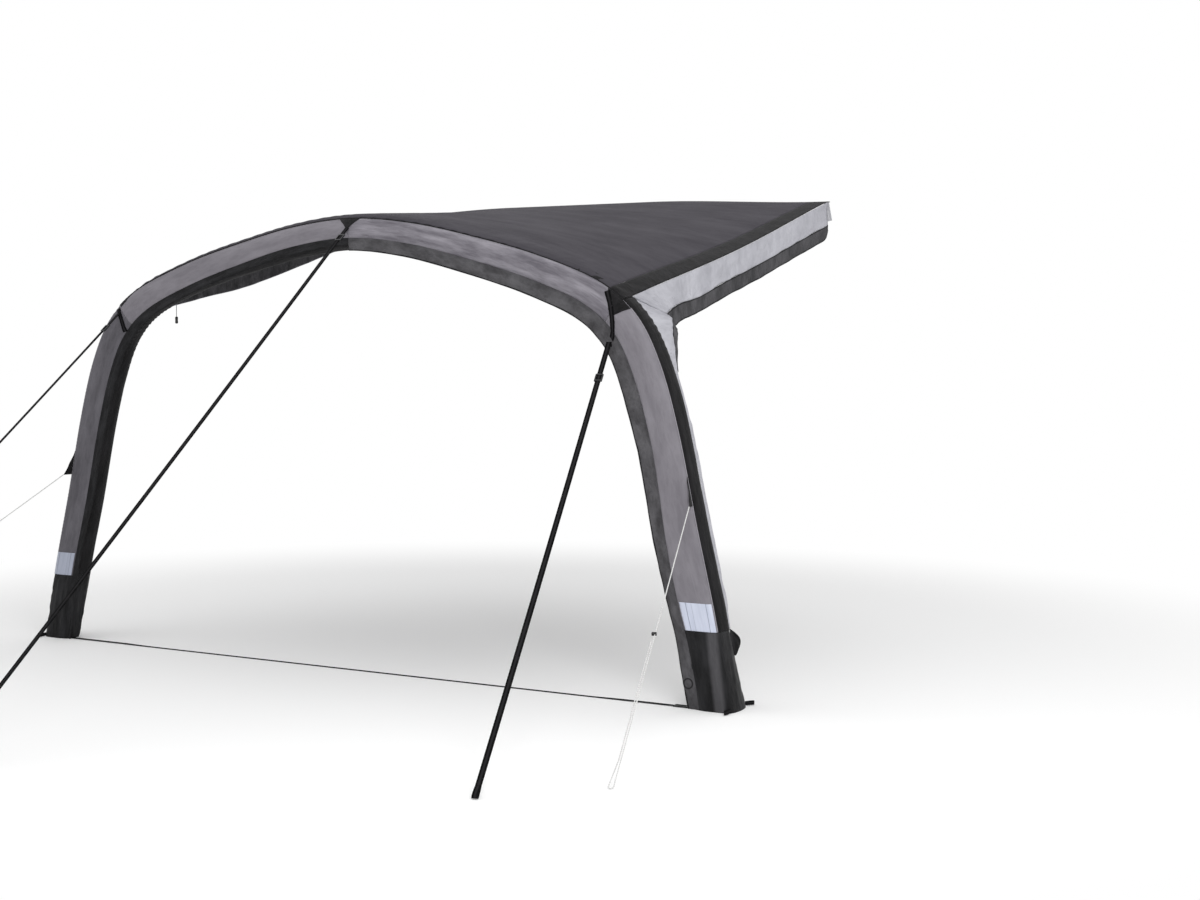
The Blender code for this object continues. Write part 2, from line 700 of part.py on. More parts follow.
valve_body = node("valve_body", build_valve_body, BLACK_PLASTIC, valve_placement)
valve_cap = node("valve_cap", build_valve_cap, BLACK_PLASTIC, valve_placement)


def build_valve_cutter(bm):
    bmesh.ops.create_cone(bm, cap_ends=True, segments=24, radius1=VALVE_STEM_RADIUS + VALVE_CLEARANCE,
                          radius2=VALVE_STEM_RADIUS + VALVE_CLEARANCE, depth=VALVE_STEM_LENGTH * 2)


valve_cutter = node("valve_cutter", build_valve_cutter, BLACK_PLASTIC, valve_placement)
cut(air_beam, valve_cutter)
cut(boots["right"], valve_cutter)


# Roof: it lies on the sleeve from the front seam to the top, then runs straight to the rail

ON_SLEEVE_COLUMNS = 3
ROOF_PLACE_SHARES = (0.05, 0.13, 0.24, 0.36, 0.48, 0.6, 0.72, 0.84, 1.0)
ROOF_END_Y = RAIL_Y - BEAD_RADIUS - GAP - WELT_DEPTH - SEAM_GAP


def rail_x(station):
    """How far along the rail the roof's thread from this station of the beam ends."""
    inner = RAIL_HALF_LENGTH - EDGE_BAND_REAR_WIDTH
    if station > BAND_STATION:
        return inner * (APEX_STATION - station) / (APEX_STATION - BAND_STATION)
    return mix(RAIL_HALF_LENGTH, inner, share_between(CORNER_STATION, BAND_STATION, station))


def rail_z(x):
    corner = share_between(RAIL_HALF_LENGTH - RAIL_CORNER_LENGTH, RAIL_HALF_LENGTH, abs(x))
    return RAIL_HEIGHT - RAIL_CORNER_DROP * eased(corner)


def roof_point(station, place, lift, end_y=ROOF_END_Y):
    """A point of the roof between where it leaves the sleeve, at place 0, and its rear edge, at place 1."""
    start = section(station, back_angle(station, ON_SLEEVE_COLUMNS - 1), LAYER)
    end = Vector((rail_x(station), end_y, rail_z(rail_x(station))))
    run = (end - start).normalized()
    outward = outward_at(station)
    square = mix(Vector((outward.x, 0, outward.y)), Vector((0, 0, 1)), place)
    square = (square - run * square.dot(run)).normalized()
    slack = share_between(0.0, ROOF_DEPTH, APEX_STATION - station + ROOF_DEPTH / 2)
    sag = 16 * ROOF_SAG * slack * place**2 * (1 - place) ** 2
    return mix(start, end, place) - Vector((0, 0, sag)) + square * (lift - LAYER)


def roof_column(station, lift):
    on_sleeve = [section(station, back_angle(station, c), lift) for c in range(ON_SLEEVE_COLUMNS)]
    return [*on_sleeve, *[roof_point(station, place, lift) for place in ROOF_PLACE_SHARES]]


def roof_rows(lift):
    half = [roof_column(s, lift) for s in stations_between(BAND_STATION, APEX_STATION)[:-1]]
    apex = roof_column(APEX_STATION, lift)
    left = [[Vector((-p.x, p.y, p.z)) for p in row] for row in reversed(half)]
    return [*half, apex, *left]


def band_rows(lift):
    middle = (CORNER_STATION + BAND_STATION) / 2
    return [roof_column(s, lift) for s in (CORNER_STATION, middle, BAND_STATION - SEAM_GAP / 2)]


sheet("roof_panel", roof_rows(LAYER), roof_rows(SEAM_GAP), ROOF_CLOTH)
for hand, side in SIDES:
    sheet(f"roof_edge_band_{hand}", band_rows(LAYER), band_rows(SEAM_GAP), BLACK_CLOTH, side)


# Rail end: the welt along the roof's rear edge, and the bead that slides into the rail

rail_places = [mix(-RAIL_HALF_LENGTH, RAIL_HALF_LENGTH, i / 24) for i in range(25)]
welt_near = ROOF_END_Y + SEAM_GAP
welt_far = RAIL_Y - BEAD_RADIUS - GAP


def welt_rows(height):
    return [[Vector((x, y, rail_z(x) + height)) for y in (welt_near, welt_far)] for x in rail_places]


def bead_ring(x):
    turns = [math.tau * i / 8 for i in range(8)]
    centre = Vector((x, RAIL_Y, rail_z(x) - WELT_THICKNESS / 2))
    return [centre + Vector((0, math.cos(t), math.sin(t))) * BEAD_RADIUS for t in turns]


def build_rail_bead(bm):
    loft(bm, [bead_ring(x) for x in rail_places])


sheet("rail_welt", welt_rows(0.0), welt_rows(-WELT_THICKNESS), BLACK_CLOTH)


node("rail_bead", build_rail_bead, RAIL_PLASTIC)


# Side valances, the gusset down each leg, and the flap along their lower edge

GUSSET_COLUMN = 5
none = Vector((0, 0, 0))
inboard = Vector((-FABRIC, 0, 0))
behind = Vector((-LAYER, 0, 0))


def edge_point(place):
    """The underside of the roof's side edge, where the valance hangs."""
    return roof_point(CORNER_STATION, place, SEAM_GAP) - Vector((0, 0, SEAM_GAP))


def leg_point(station):
    return section(station, back_angle(station, GUSSET_COLUMN), LAYER)


def valance_pairs(drop_shares, corner_shares, gusset_shares):
    """The seam and the lower edge of a valance, from the rail to the corner and down the leg."""
    pairs = []
    for (place, back, down), fold in zip(drop_shares, FOLD_SHARES):
        seam = edge_point(place)
        wave = Vector((fold * FOLD_DEPTH, 0, 0))
        pairs.append((seam, seam + Vector((0, back, -down)) * VALANCE_DROP + wave))
    out, back, down = corner_shares
    corner = leg_point(CORNER_STATION)
    pairs.append((corner, corner + Vector((out, back, -down)) * VALANCE_DROP))
    for station in reversed(stations_between(BOOT_STATION, CORNER_STATION)[:-1]):
        seam = leg_point(station)
        width = GUSSET_WIDTH * read_table(gusset_shares, seam.z / CORNER_HEIGHT)
        pairs.append((seam, seam + Vector((-GUSSET_LEAN_SHARE, 1, 0)) * width))
    return pairs


def valance_rows(pairs, shift):
    return [[mix(seam, edge, i / 3) + shift for i in range(4)] for seam, edge in pairs]


def turned_up_rows(pairs, shift):
    """The left flap, turned up against the inside of its valance."""
    return [row[1:] for row in valance_rows(pairs[:TURNED_UP_PAIRS], shift)]


def side_flap_rows(pairs, shift):
    """The right flap, hanging from the valance's edge and tapering out where the gusset meets the leg."""
    rows = []
    for (_, edge), (back, down) in zip(pairs, SIDE_FLAP_SHARES):
        step = Vector((0, back, -down)) * SIDE_FLAP_DROP
        rows.append([edge + step.normalized() * SEAM_GAP + step * i / 2 + shift for i in range(3)])
    start = pairs[len(SIDE_FLAP_SHARES) - 1][1].z
    back, down = SIDE_FLAP_SHARES[-1]
    for _, edge in pairs[len(SIDE_FLAP_SHARES):]:
        left = share_between(SIDE_FLAP_END_HEIGHT, start, edge.z)
        if left == 0:
            break
        step = Vector((SIDE_FLAP_LEAN_SHARE, back, -down)) * SIDE_FLAP_DROP * left
        rows.append([edge + step.normalized() * SEAM_GAP + step * i / 2 + shift for i in range(3)])
    return rows


right_pairs = valance_pairs(VALANCE_SHARES, CORNER_VALANCE_SHARES, GUSSET_SHARES)
left_pairs = valance_pairs(LEFT_VALANCE_SHARES, LEFT_CORNER_SHARES, LEFT_GUSSET_SHARES)
for hand, side, pairs in (("right", 1, right_pairs), ("left", -1, left_pairs)):
    sheet(f"side_valance_{hand}", valance_rows(pairs, none), valance_rows(pairs, inboard), LIGHT_CLOTH, side)
hanging_outside, hanging_inside = side_flap_rows(right_pairs, none), side_flap_rows(right_pairs, inboard)
sheet("side_flap_right", hanging_outside, hanging_inside, CHARCOAL_CLOTH)
turned_outside = turned_up_rows(left_pairs, behind)
turned_inside = turned_up_rows(left_pairs, behind + inboard)
sheet("side_flap_left", turned_outside, turned_inside, CHARCOAL_CLOTH, -1)


# Patches on the front

def shoulder_patch_rows(columns, lift):
    """Rows along the beam, one for each column of the front."""
    rows = []
    for column, start_share, end_share in columns:
        start, end = (CORNER_STATION + SLEEVE_RADIUS * share for share in (start_share, end_share))
        steps = spread(start, end, PATCH_TURN_ROWS)
        rows.append([section(s, front_angle(s, column), lift) for s in [*steps, end]])
    return rows


for hand, side in SIDES:
    outer, inner = (shoulder_patch_rows(SHOULDER_PATCH_SHARES[hand], lift) for lift in (GAP + FABRIC, GAP))
    sheet(f"shoulder_patch_{hand}", outer, inner, BLACK_CLOTH, side)


def apex_patch_rows(lift):
    """Rows down the front, each narrower than the last."""
    rows = []
    for column, width in APEX_PATCH_COLUMN_SHARES:
        angle = front_angle(APEX_STATION, column)
        reach = APEX_PATCH_HALF_WIDTH * width
        half = [section(APEX_STATION - reach / i, angle, lift) for i in (1, 2)]
        left = [Vector((-p.x, p.y, p.z)) for p in reversed(half)]
        rows.append([*half, section(APEX_STATION, angle, lift), *left])
    return rows


sheet("apex_patch", apex_patch_rows(LAYER), apex_patch_rows(SEAM_GAP), BLACK_CLOTH)


# Where the front of the sleeve and its flap are, seen from the front

def front_y(x, z, lift):
    """The y of the sleeve's front or of its flap at a place, with a lift towards the front."""
    spot = Vector((x, z))
    nearest = min(range(len(SPINE)), key=lambda i: (SPINE[i] - spot).length)
    station = SPINE_LENGTHS[nearest]
    side = (spot - SPINE[nearest]).dot(outward_at(station))
    low = low_angle(station)
    over = low + FLAP_SEAM_WIDTH / SLEEVE_RADIUS
    if side <= sleeve_reach(station, over) * math.sin(over):
        return ARCH_Y - sleeve_reach(station, over) * math.cos(over) - LAYER - lift
    below, above = over, SLEEVE_FRONT_ANGLE
    for _ in range(30):
        angle = (below + above) / 2
        if sleeve_reach(station, angle) * math.sin(angle) < side:
            below = angle
        else:
            above = angle
    return ARCH_Y - sleeve_reach(station, below) * math.cos(below) - lift


# Webbing bands stitched down the front, from the shoulder patches to the flap's edge

ANCHOR_LIFT = SEAM_GAP + FACET_ROOM
ANCHOR_FACE_LIFT = ANCHOR_LIFT + WEBBING_THICKNESS
corner_centre, _ = spine_at(CORNER_STATION)


def anchor_rows(hand, lift):
    """Rows down the front of the sleeve, each across the width of the webbing."""
    places = [corner_centre + Vector(share) * SLEEVE_RADIUS for share in ANCHOR_STEP_SHARES[hand]]
    route = smooth_line(places, ANCHOR_SAMPLES)
    rows = []
    for here, ahead in zip(route, [*route[1:], route[-1] * 2 - route[-2]]):
        aside = (ahead - here).orthogonal().normalized() * WEBBING_WIDTH / 2
        rows.append([Vector((p.x, front_y(p.x, p.y, lift), p.y)) for p in (here - aside, here, here + aside)])
    return rows


for hand, side in SIDES:
    outer, inner = (anchor_rows(hand, lift) for lift in (ANCHOR_FACE_LIFT, ANCHOR_LIFT))
    sheet(f"strap_anchor_{hand}", outer, inner, BLACK_WEBBING, side)


# Storm straps from the front down to pegs on the ground

def along_line(line, distance):
    """The point at a distance along a line, and the line's direction there."""
    for a, b in zip(line, line[1:]):
        if distance <= (b - a).length:
            return mix(a, b, distance / (b - a).length), (b - a).normalized()
        distance -= (b - a).length
    return line[-1], (line[-1] - line[-2]).normalized()


def slotted_buckle(name, line, place, across, length, slot_width):
    """A slide buckle round webbing: two rails, with a bar above and below the webbing at each end."""
    centre, along = along_line(line, place)
    placement = frame_at(centre, across, along)
    slot_height = WEBBING_THICKNESS + 2 * BUCKLE_CLEARANCE
    outside = Vector((slot_width + 2 * BUCKLE_RAIL, length, slot_height + 2 * BUCKLE_PLATE))
    made = node(name, lambda bm: block(bm, outside, BUCKLE_EDGE), BLACK_PLASTIC, placement)
    slot = Vector((slot_width, length + 2 * OVERRUN, slot_height))
    window = Vector((slot_width, length - 2 * BUCKLE_BAR, outside.z + 2 * OVERRUN))
    for cutter, size in (("slot", slot), ("window", window)):
        shape = node(f"{name}_{cutter}_cutter", lambda bm: block(bm, size, 0), BLACK_PLASTIC, placement)
        cut(made, shape)
    return made


def webbing_loop(name, start, along, across, length, width, thickness, side=1):
    """A loop of webbing whose two ends lie on each other at its start."""
    aside = along.cross(across).normalized() * (thickness + GAP)
    out = [start + along * length * reach + aside * rise for reach, rise in LOOP_SHARES]
    back = [start + along * length * reach - aside * rise for reach, rise in reversed(LOOP_SHARES)]
    ribbon(name, smooth_line([*out, *back], 2), across, width, thickness, BLACK_WEBBING, side)


anchor_end = anchor_rows("right", ANCHOR_FACE_LIFT)[-2][1]
anchor_top = anchor_rows("left", ANCHOR_FACE_LIFT)[1][1]
patch_tip = section(APEX_STATION, front_angle(APEX_STATION, CENTRE_STRAP_COLUMN_SHARE), LAYER)
peg_height = WEBBING_THICKNESS * 3
strap_seams = {"right": anchor_end, "left": on_the_left(anchor_top), "centre": patch_tip}


def strap_start(seam, run, across, lift):
    """The seam moved forward until the strap's end just clears what it is sewn to."""
    flat = run.cross(across).normalized() * WEBBING_THICKNESS / 2
    corners = [across * WEBBING_WIDTH / 2 * broad + flat * thick for broad in (-1, 1) for thick in (-1, 1)]
    nearest = min(front_y(abs(seam.x + corner.x), seam.z + corner.z, lift) - corner.y for corner in corners)
    return Vector((seam.x, nearest - GAP, seam.z))


strap_lifts = {"right": ANCHOR_FACE_LIFT, "left": ANCHOR_FACE_LIFT, "centre": LAYER - FACET_ROOM}
peg_places = {
    "right": Vector((STORM_PEG_X, ARCH_Y - STORM_PEG_REACH, peg_height)),
    "left": Vector((-STORM_PEG_X, ARCH_Y - STORM_PEG_REACH, peg_height)),
    "centre": Vector((0, ARCH_Y - CENTRE_PEG_REACH, peg_height)),
}
buckle_places = {"right": RIGHT_BUCKLE_PLACE, "left": LEFT_BUCKLE_PLACE, "centre": CENTRE_BUCKLE_PLACE}
for hand, seam in strap_seams.items():
    peg = peg_places[hand]
    run = (peg - seam).normalized()
    across = run.cross(Vector((0, 0, 1))).normalized()
    start = strap_start(seam, run, across, strap_lifts[hand])
    line = taut_line(start, peg - run * PEG_LOOP_LENGTH, STRAP_SAG, 13)
    ribbon(f"storm_strap_{hand}", line, across, WEBBING_WIDTH, WEBBING_THICKNESS, BLACK_WEBBING)
    slotted_buckle(f"storm_buckle_{hand}", line, buckle_places[hand], across, BUCKLE_LENGTH,
                   WEBBING_WIDTH + 2 * BUCKLE_CLEARANCE)
    webbing_loop(f"storm_peg_loop_{hand}", line[-1] + run * GAP, run, across, PEG_LOOP_LENGTH, WEBBING_WIDTH,
                 WEBBING_THICKNESS)


# Guy lines: down from a tab on the leg to a peg, round it and back up to the runner

def tab_rows(shift):
    """The tab's seam on the leg, foot to top, and its free edge in front of it."""
    rows = []
    step = Vector((GUY_TAB_LEAN, -GUY_TAB_REACH, 0))
    seam_lift = GAP + FABRIC * math.sin(SLEEVE_FRONT_ANGLE)
    for station, share in zip(spread(GUY_TAB_STATION, GUY_TAB_END, 2) + [GUY_TAB_END], GUY_TAB_SHARES):
        seam = section(station, front_angle(station, GUY_TAB_COLUMN_SHARE), seam_lift)
        rows.append([seam + step * share * i / 2 + shift for i in range(3)])
    return rows


for hand, side in SIDES:
    sheet(f"guy_tab_{hand}", tab_rows(none), tab_rows(inboard), BLACK_CLOTH, side)

guy_tip = tab_rows(inboard / 2)[0][-1]
guy_peg = Vector((GUY_PEG_X, ARCH_Y - GUY_PEG_REACH, GUY_RADIUS * 2))


def guy_route(tip, peg):
    """The way down to the peg, the whole line with its turn there, and the direction across its two parts."""
    run = (peg - tip).normalized()
    across = run.cross(Vector((0, 0, 1))).normalized() * (1 if peg.x > 0 else -1)
    bend = peg - run * GUY_LOOP_RADIUS
    down = taut_line(tip + run * GAP, bend, GUY_SAG, 26)
    turn = [
        bend + (across * (1 - math.cos(t)) + run * math.sin(t)) * GUY_LOOP_RADIUS
        for t in [math.pi * i / 8 for i in range(1, 8)]
    ]
    back = []
    for i, point in enumerate(reversed(down)):
        back.append(point + across * mix(GUY_LOOP_RADIUS * 2, GUY_SPACING, eased(share_between(0, 2, i))))
    reach = (bend - tip).length - RUNNER_PLACE + RUNNER_THICKNESS
    back = [p for p in back if (p - back[0]).length < reach]
    return down, [*down, *turn, *back], across


def tube(name, points, radius, finish, resolution):
    """A round line through points, with filled ends."""
    path = bpy.data.curves.new(name, "CURVE")
    path.dimensions = "3D"
    path.bevel_depth = radius
    path.bevel_resolution = resolution
    path.use_fill_caps = True
    spline = path.splines.new("POLY")
    spline.points.add(len(points) - 1)
    for knot, point in zip(spline.points, points):
        knot.co = (*point, 1)
    path.materials.append(finish)
    made = bpy.data.objects.new(name, path)
    bpy.context.scene.collection.objects.link(made)
    return made


def guy_runner(name, points, across):
    """A slide with two holes, one on the line down to the peg and one on the line back."""
    centre, along = along_line(points, RUNNER_PLACE)
    placement = frame_at(centre + across * GUY_SPACING / 2, across, along)
    size = Vector((RUNNER_WIDTH, RUNNER_THICKNESS, RUNNER_DEPTH))
    made = node(name, lambda bm: block(bm, size, BUCKLE_EDGE), BLACK_PLASTIC, placement)
    for which, away in (("low", -GUY_SPACING / 2), ("high", GUY_SPACING / 2)):
        spot = placement @ Matrix.Translation(Vector((away, 0, 0)))

        def build_hole(bm):
            radius = GUY_RADIUS + RUNNER_CLEARANCE
            bmesh.ops.create_cone(bm, cap_ends=True, segments=12, radius1=radius, radius2=radius,
                                  depth=RUNNER_THICKNESS + 2 * OVERRUN)
            bmesh.ops.rotate(bm, matrix=Matrix.Rotation(math.pi / 2, 3, "X"), verts=bm.verts)

        hole = node(f"{name}_{which}_hole_cutter", build_hole, BLACK_PLASTIC, spot)
        cut(made, hole)


guy_ends = {"right": (guy_tip, guy_peg), "left": (on_the_left(guy_tip), guy_peg * Vector((-1, 1, 1)))}
for hand, (tip, peg) in guy_ends.items():
    guy_down, guy_points, guy_across = guy_route(tip, peg)
    tube(f"guy_line_{hand}", guy_points, GUY_RADIUS, LIGHT_CORD, 2)
    guy_runner(f"guy_runner_{hand}", guy_down, guy_across)


# Webbing along the ground between the feet, with its buckle

GROUND_STRAP_ROWS = 29
ground_y = ARCH_Y - GROUND_STRAP_FORWARD
inner_low, inner_high = math.radians(-90), math.radians(-40)
for _ in range(30):
    inner = (inner_low + inner_high) / 2
    if section(0.0, inner).y > ground_y + GROUND_WEBBING_WIDTH / 2:
        inner_low = inner
    else:
        inner_high = inner
lying = GAP + WEBBING_THICKNESS / 2
raised = GAP + BUCKLE_PLATE + BUCKLE_CLEARANCE + WEBBING_THICKNESS / 2
boot_side = section(station_at_height(raised + WEBBING_THICKNESS / 2), inner_low)
ground_half = boot_side.x - SEAM_GAP
left_end = on_the_left(boot_side).x + SEAM_GAP / 2
ground_line = []
for i in range(GROUND_STRAP_ROWS):
    x = mix(left_end, ground_half, i / (GROUND_STRAP_ROWS - 1))
    rise = eased(share_between(ground_half - GROUND_RISE_END, ground_half - GROUND_RISE_START, abs(x)))
    ground_line.append(Vector((x, ground_y, mix(lying, raised, rise))))
ribbon("ground_strap", ground_line, Vector((0, 1, 0)), GROUND_WEBBING_WIDTH, WEBBING_THICKNESS, BLACK_WEBBING)
slotted_buckle("ground_buckle", ground_line, GROUND_BUCKLE_X - ground_line[0].x, Vector((0, 1, 0)),
               GROUND_BUCKLE_LENGTH, GROUND_WEBBING_WIDTH + 2 * BUCKLE_CLEARANCE)


# Tabs and loops on the boots

def ear_rows(shift, heel):
    rows = []
    for station, share in zip(boot_stations[-3:], EAR_SHARES):
        seam = section(station, back_angle(station, GUSSET_COLUMN), LAYER, heel)
        step = Vector(EAR_STEP_SHARES) * EAR_LENGTH * share
        rows.append([seam + step * i / 2 + shift for i in range(3)])
    return rows


tab_station = station_at_height(TAB_WIDTH * 0.7)
heel_angle = math.radians(140)
upright = Vector((0, 0, 1))
for hand, side in SIDES:
    heel = HEELS[hand]
    sheet(f"boot_ear_{hand}", ear_rows(none, heel), ear_rows(inboard, heel), BLACK_CLOTH, side)
    heel_seam = section(tab_station, heel_angle, HEEL_TAB_LIFTS[hand], heel)
    webbing_loop(f"heel_tab_{hand}", heel_seam, Vector(HEEL_TAB_SHARES), upright, HEEL_TAB_LENGTH, TAB_WIDTH,
                 TAB_THICKNESS, side)
    toe_seam = section(tab_station, SLEEVE_FRONT_ANGLE, TAB_THICKNESS + SEAM_GAP, heel)
    webbing_loop(f"toe_loop_{hand}", toe_seam, Vector((0, -1, 0)), upright, TOE_LOOP_LENGTH, TAB_WIDTH,
                 TAB_THICKNESS, side)


# Webbing tails at the ends of the rail

along_rail = Vector((1, 0, 0))
tail_lean = RAIL_TAIL_SLANT / RAIL_TAIL_LENGTH
tail_top = Vector((RAIL_HALF_LENGTH - RAIL_TAIL_WIDTH / 2, (welt_near + welt_far) / 2,
                   rail_z(RAIL_HALF_LENGTH) - WELT_THICKNESS - SEAM_GAP - RAIL_TAIL_WIDTH / 2 * tail_lean))
tail_run = Vector((RAIL_TAIL_SLANT, 0, -RAIL_TAIL_LENGTH))
tail_line = [tail_top + tail_run * i / 4 for i in range(5)]
for hand, side in SIDES:
    ribbon(f"rail_tail_{hand}", tail_line, along_rail, RAIL_TAIL_WIDTH, TAB_THICKNESS, LIGHT_WEBBING, side)


# Pull cord with its toggle, under the left side of the beam

PULL_CORD_COLUMN = 13
pull_station = next(length for point, length in zip(SPINE, SPINE_LENGTHS) if point.x <= PULL_CORD_X)
pull_angle = back_angle(pull_station, PULL_CORD_COLUMN)
pull_seam = section(pull_station, pull_angle, GAP + PULL_CORD_RADIUS * PULL_SEAT_SHARE)
pull_placement = Matrix.Translation(Vector((-pull_seam.x, pull_seam.y, pull_seam.z)))
cord_points = [Vector((0, 0, -PULL_CORD_LENGTH * i / 16)) for i in range(17)]
tube("pull_cord", cord_points, PULL_CORD_RADIUS, BLACK_WEBBING, 2).matrix_world = pull_placement


def toggle_ring(wide, down):
    radius = PULL_TOGGLE_RADIUS * wide
    height = -PULL_CORD_LENGTH - GAP - PULL_TOGGLE_LENGTH * down
    turns = [math.tau * i / 12 for i in range(12)]
    return [Vector((radius * math.cos(t), radius * math.sin(t), height)) for t in turns]


def build_toggle(bm):
    loft(bm, [toggle_ring(wide, down) for wide, down in TOGGLE_SHARES])


node("pull_toggle", build_toggle, BLACK_PLASTIC, pull_placement)
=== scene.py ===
"""An awning: an inflated arch on two boots, a taut roof back to its bead, side valances, straps and lines."""

import math

import bmesh
import bpy
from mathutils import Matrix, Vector, noise


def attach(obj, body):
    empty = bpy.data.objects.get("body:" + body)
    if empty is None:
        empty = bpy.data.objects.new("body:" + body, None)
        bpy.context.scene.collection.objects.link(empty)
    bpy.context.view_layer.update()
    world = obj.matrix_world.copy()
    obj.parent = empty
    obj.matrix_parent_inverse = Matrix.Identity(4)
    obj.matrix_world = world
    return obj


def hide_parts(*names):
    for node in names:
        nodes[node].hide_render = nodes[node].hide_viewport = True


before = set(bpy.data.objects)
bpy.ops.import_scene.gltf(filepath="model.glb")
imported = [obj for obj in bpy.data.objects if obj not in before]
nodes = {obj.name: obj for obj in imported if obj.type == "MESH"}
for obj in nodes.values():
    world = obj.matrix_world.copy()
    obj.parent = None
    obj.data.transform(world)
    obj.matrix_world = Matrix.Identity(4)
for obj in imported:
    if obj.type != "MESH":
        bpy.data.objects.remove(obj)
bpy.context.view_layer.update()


# Camera. It stands in front of the awning and to the right of it, at eye height, and looks to the left and a
# little down.

camera = bpy.data.objects.new("camera", bpy.data.cameras.new("camera"))
camera.data.sensor_width = 36
camera.data.lens = 56.19
camera.location = (5.755, -8.441, 1.655)
camera.rotation_euler = (math.radians(90 - 3.42), 0, math.radians(30.49))
bpy.context.scene.collection.objects.link(camera)
bpy.context.scene.camera = camera


# Storm straps. Black polypropylene webbing with a paler stripe woven down its middle, sewn to the front at both
# shoulders and at the apex, and pulled tight to pegs on the ground in front. Each ends in a sewn loop for its peg.

def paint(red, green, blue):
    """A colour given as it looks, from 0 to 255, as the amounts of light that a shader takes."""
    shares = [value / 255 for value in (red, green, blue)]
    return (*[s / 12.92 if s < 0.04045 else ((s + 0.055) / 1.055) ** 2.4 for s in shares], 1)


class Value:
    """A number that varies over a finish. Sums with it add Math nodes."""

    def __init__(self, owner, socket):
        self.owner = owner
        self.socket = socket

    def maths(self, operation, *others):
        return self.owner.node("Math", {"operation": operation}, dict(enumerate([self, *others])))

    def __add__(self, other):
        return self.maths("ADD", other)

    def __mul__(self, other):
        return self.maths("MULTIPLY", other)

    def __sub__(self, other):
        return self.maths("SUBTRACT", other)

    def __rsub__(self, other):
        return (self * -1).maths("ADD", other)

    __radd__ = __add__
    __rmul__ = __mul__

    def sine(self):
        return self.maths("SINE")

    def size(self):
        return self.maths("ABSOLUTE")

    def rising(self, low, high):
        """0 below low, 1 above high, and smooth between them."""
        values = {"Value": self, "From Min": low, "From Max": high}
        return self.owner.node("MapRange", {"interpolation_type": "SMOOTHSTEP"}, values)

    def falling(self, low, high):
        return 1 - self.rising(low, high)


class Nodes:
    """The nodes of one material or of the studio's light."""

    def __init__(self, tree):
        self.tree = tree

    def plug(self, socket, value):
        if isinstance(value, Value):
            self.tree.links.new(value.socket, socket)
        else:
            socket.default_value = value

    def node(self, kind, settings, values, output=0):
        made = self.tree.nodes.new("ShaderNode" + kind)
        for name, value in settings.items():
            setattr(made, name, value)
        for name, value in values.items():
            self.plug(made.inputs[name], value)
        return Value(self, made.outputs[output])


class Finish(Nodes):
    """A material with its shader, and the nodes that vary it over a surface."""

    def __init__(self, name, roughness=0.8, sheen=0.0, specular=0.15):
        self.material = bpy.data.materials.new(name)
        self.material.use_nodes = True
        super().__init__(self.material.node_tree)
        self.shader = self.tree.nodes["Principled BSDF"]
        self.give(**{"Roughness": roughness, "Sheen Weight": sheen, "Specular IOR Level": specular})

    def give(self, **values):
        for name, value in values.items():
            self.plug(self.shader.inputs[name], value)

    def colour(self, colour):
        self.give(**{"Base Color": colour})

    def mark(self, mask, colour):
        """Lays another colour over the finish's own where the mask is 1."""
        own = Value(self, self.shader.inputs["Base Color"].links[0].from_socket)
        self.colour(self.blend(mask, own, colour))

    def place(self, kind="UV"):
        """Where a point is: across and along its cloth in metres, or in the awning's own space."""
        return self.node("TexCoord", {}, {}, kind)

    def measured(self, axes="XY", kind="UV"):
        """That place as one number for each axis."""
        place = self.place(kind)
        return [self.node("SeparateXYZ", {}, {0: place}, axis) for axis in axes]

    def clouds(self, scale, detail=3.0, rough=0.5, stretch=(1, 1, 1), turn=0.0, kind="UV"):
        """Noise from 0 to 1 with so many lumps to the metre, drawn out along one direction."""
        turned = {"Vector": self.place(kind), "Scale": stretch, "Rotation": (0, 0, turn)}
        spread = self.node("Mapping", {}, turned)
        values = {"Vector": spread, "Scale": scale, "Detail": detail, "Roughness": rough}
        return self.node("TexNoise", {}, values, "Fac")

    def blend(self, mask, before, after):
        return self.node("Mix", {"data_type": "RGBA"}, {0: mask, 6: before, 7: after}, 2)

    def raised(self, height, strength=1.0):
        """Relief from a height in metres."""
        values = {"Height": height, "Distance": 1.0, "Strength": strength}
        self.give(Normal=self.node("Bump", {}, values, "Normal"))


def share_between(low, high, value):
    return min(max((value - low) / (high - low), 0.0), 1.0)


def eased(share):
    return share * share * (3 - 2 * share)


def mix(a, b, share):
    return a + (b - a) * share


def at_row(rows, place):
    """What lies at a place counted in rows, between the row before it and the next."""
    low = min(int(place), len(rows) - 2)
    return mix(rows[low], rows[low + 1], place - low)


def lay(name, rows, columns, point, size, finish, thickness=0.001, closed=False):
    """A piece of cloth: point(across, along) says where each crossing of its threads lies, both from 0 to 1."""
    bm = bmesh.new()
    bmesh.ops.create_grid(bm, x_segments=columns, y_segments=rows, size=0.5, calc_uvs=True)
    threads = bm.loops.layers.uv.verify()
    for face in bm.faces:
        for corner in face.loops:
            corner[threads].uv = ((corner.vert.co.x + 0.5) * size[0], (corner.vert.co.y + 0.5) * size[1])
    for crossing in bm.verts:
        crossing.co = point(crossing.co.x + 0.5, crossing.co.y + 0.5)
    if closed:
        bmesh.ops.remove_doubles(bm, verts=bm.verts, dist=0.0002)
    mesh = bpy.data.meshes.new(name)
    bm.to_mesh(mesh)
    bm.free()
    mesh.shade_smooth()
    mesh.materials.append(finish.material)
    piece = bpy.data.objects.new(name, mesh)
    bpy.context.scene.collection.objects.link(piece)
    if thickness:
        wall = piece.modifiers.new("cloth", "SOLIDIFY")
        wall.thickness = thickness
        wall.offset = 0
        wall.use_even_offset = False
    return piece


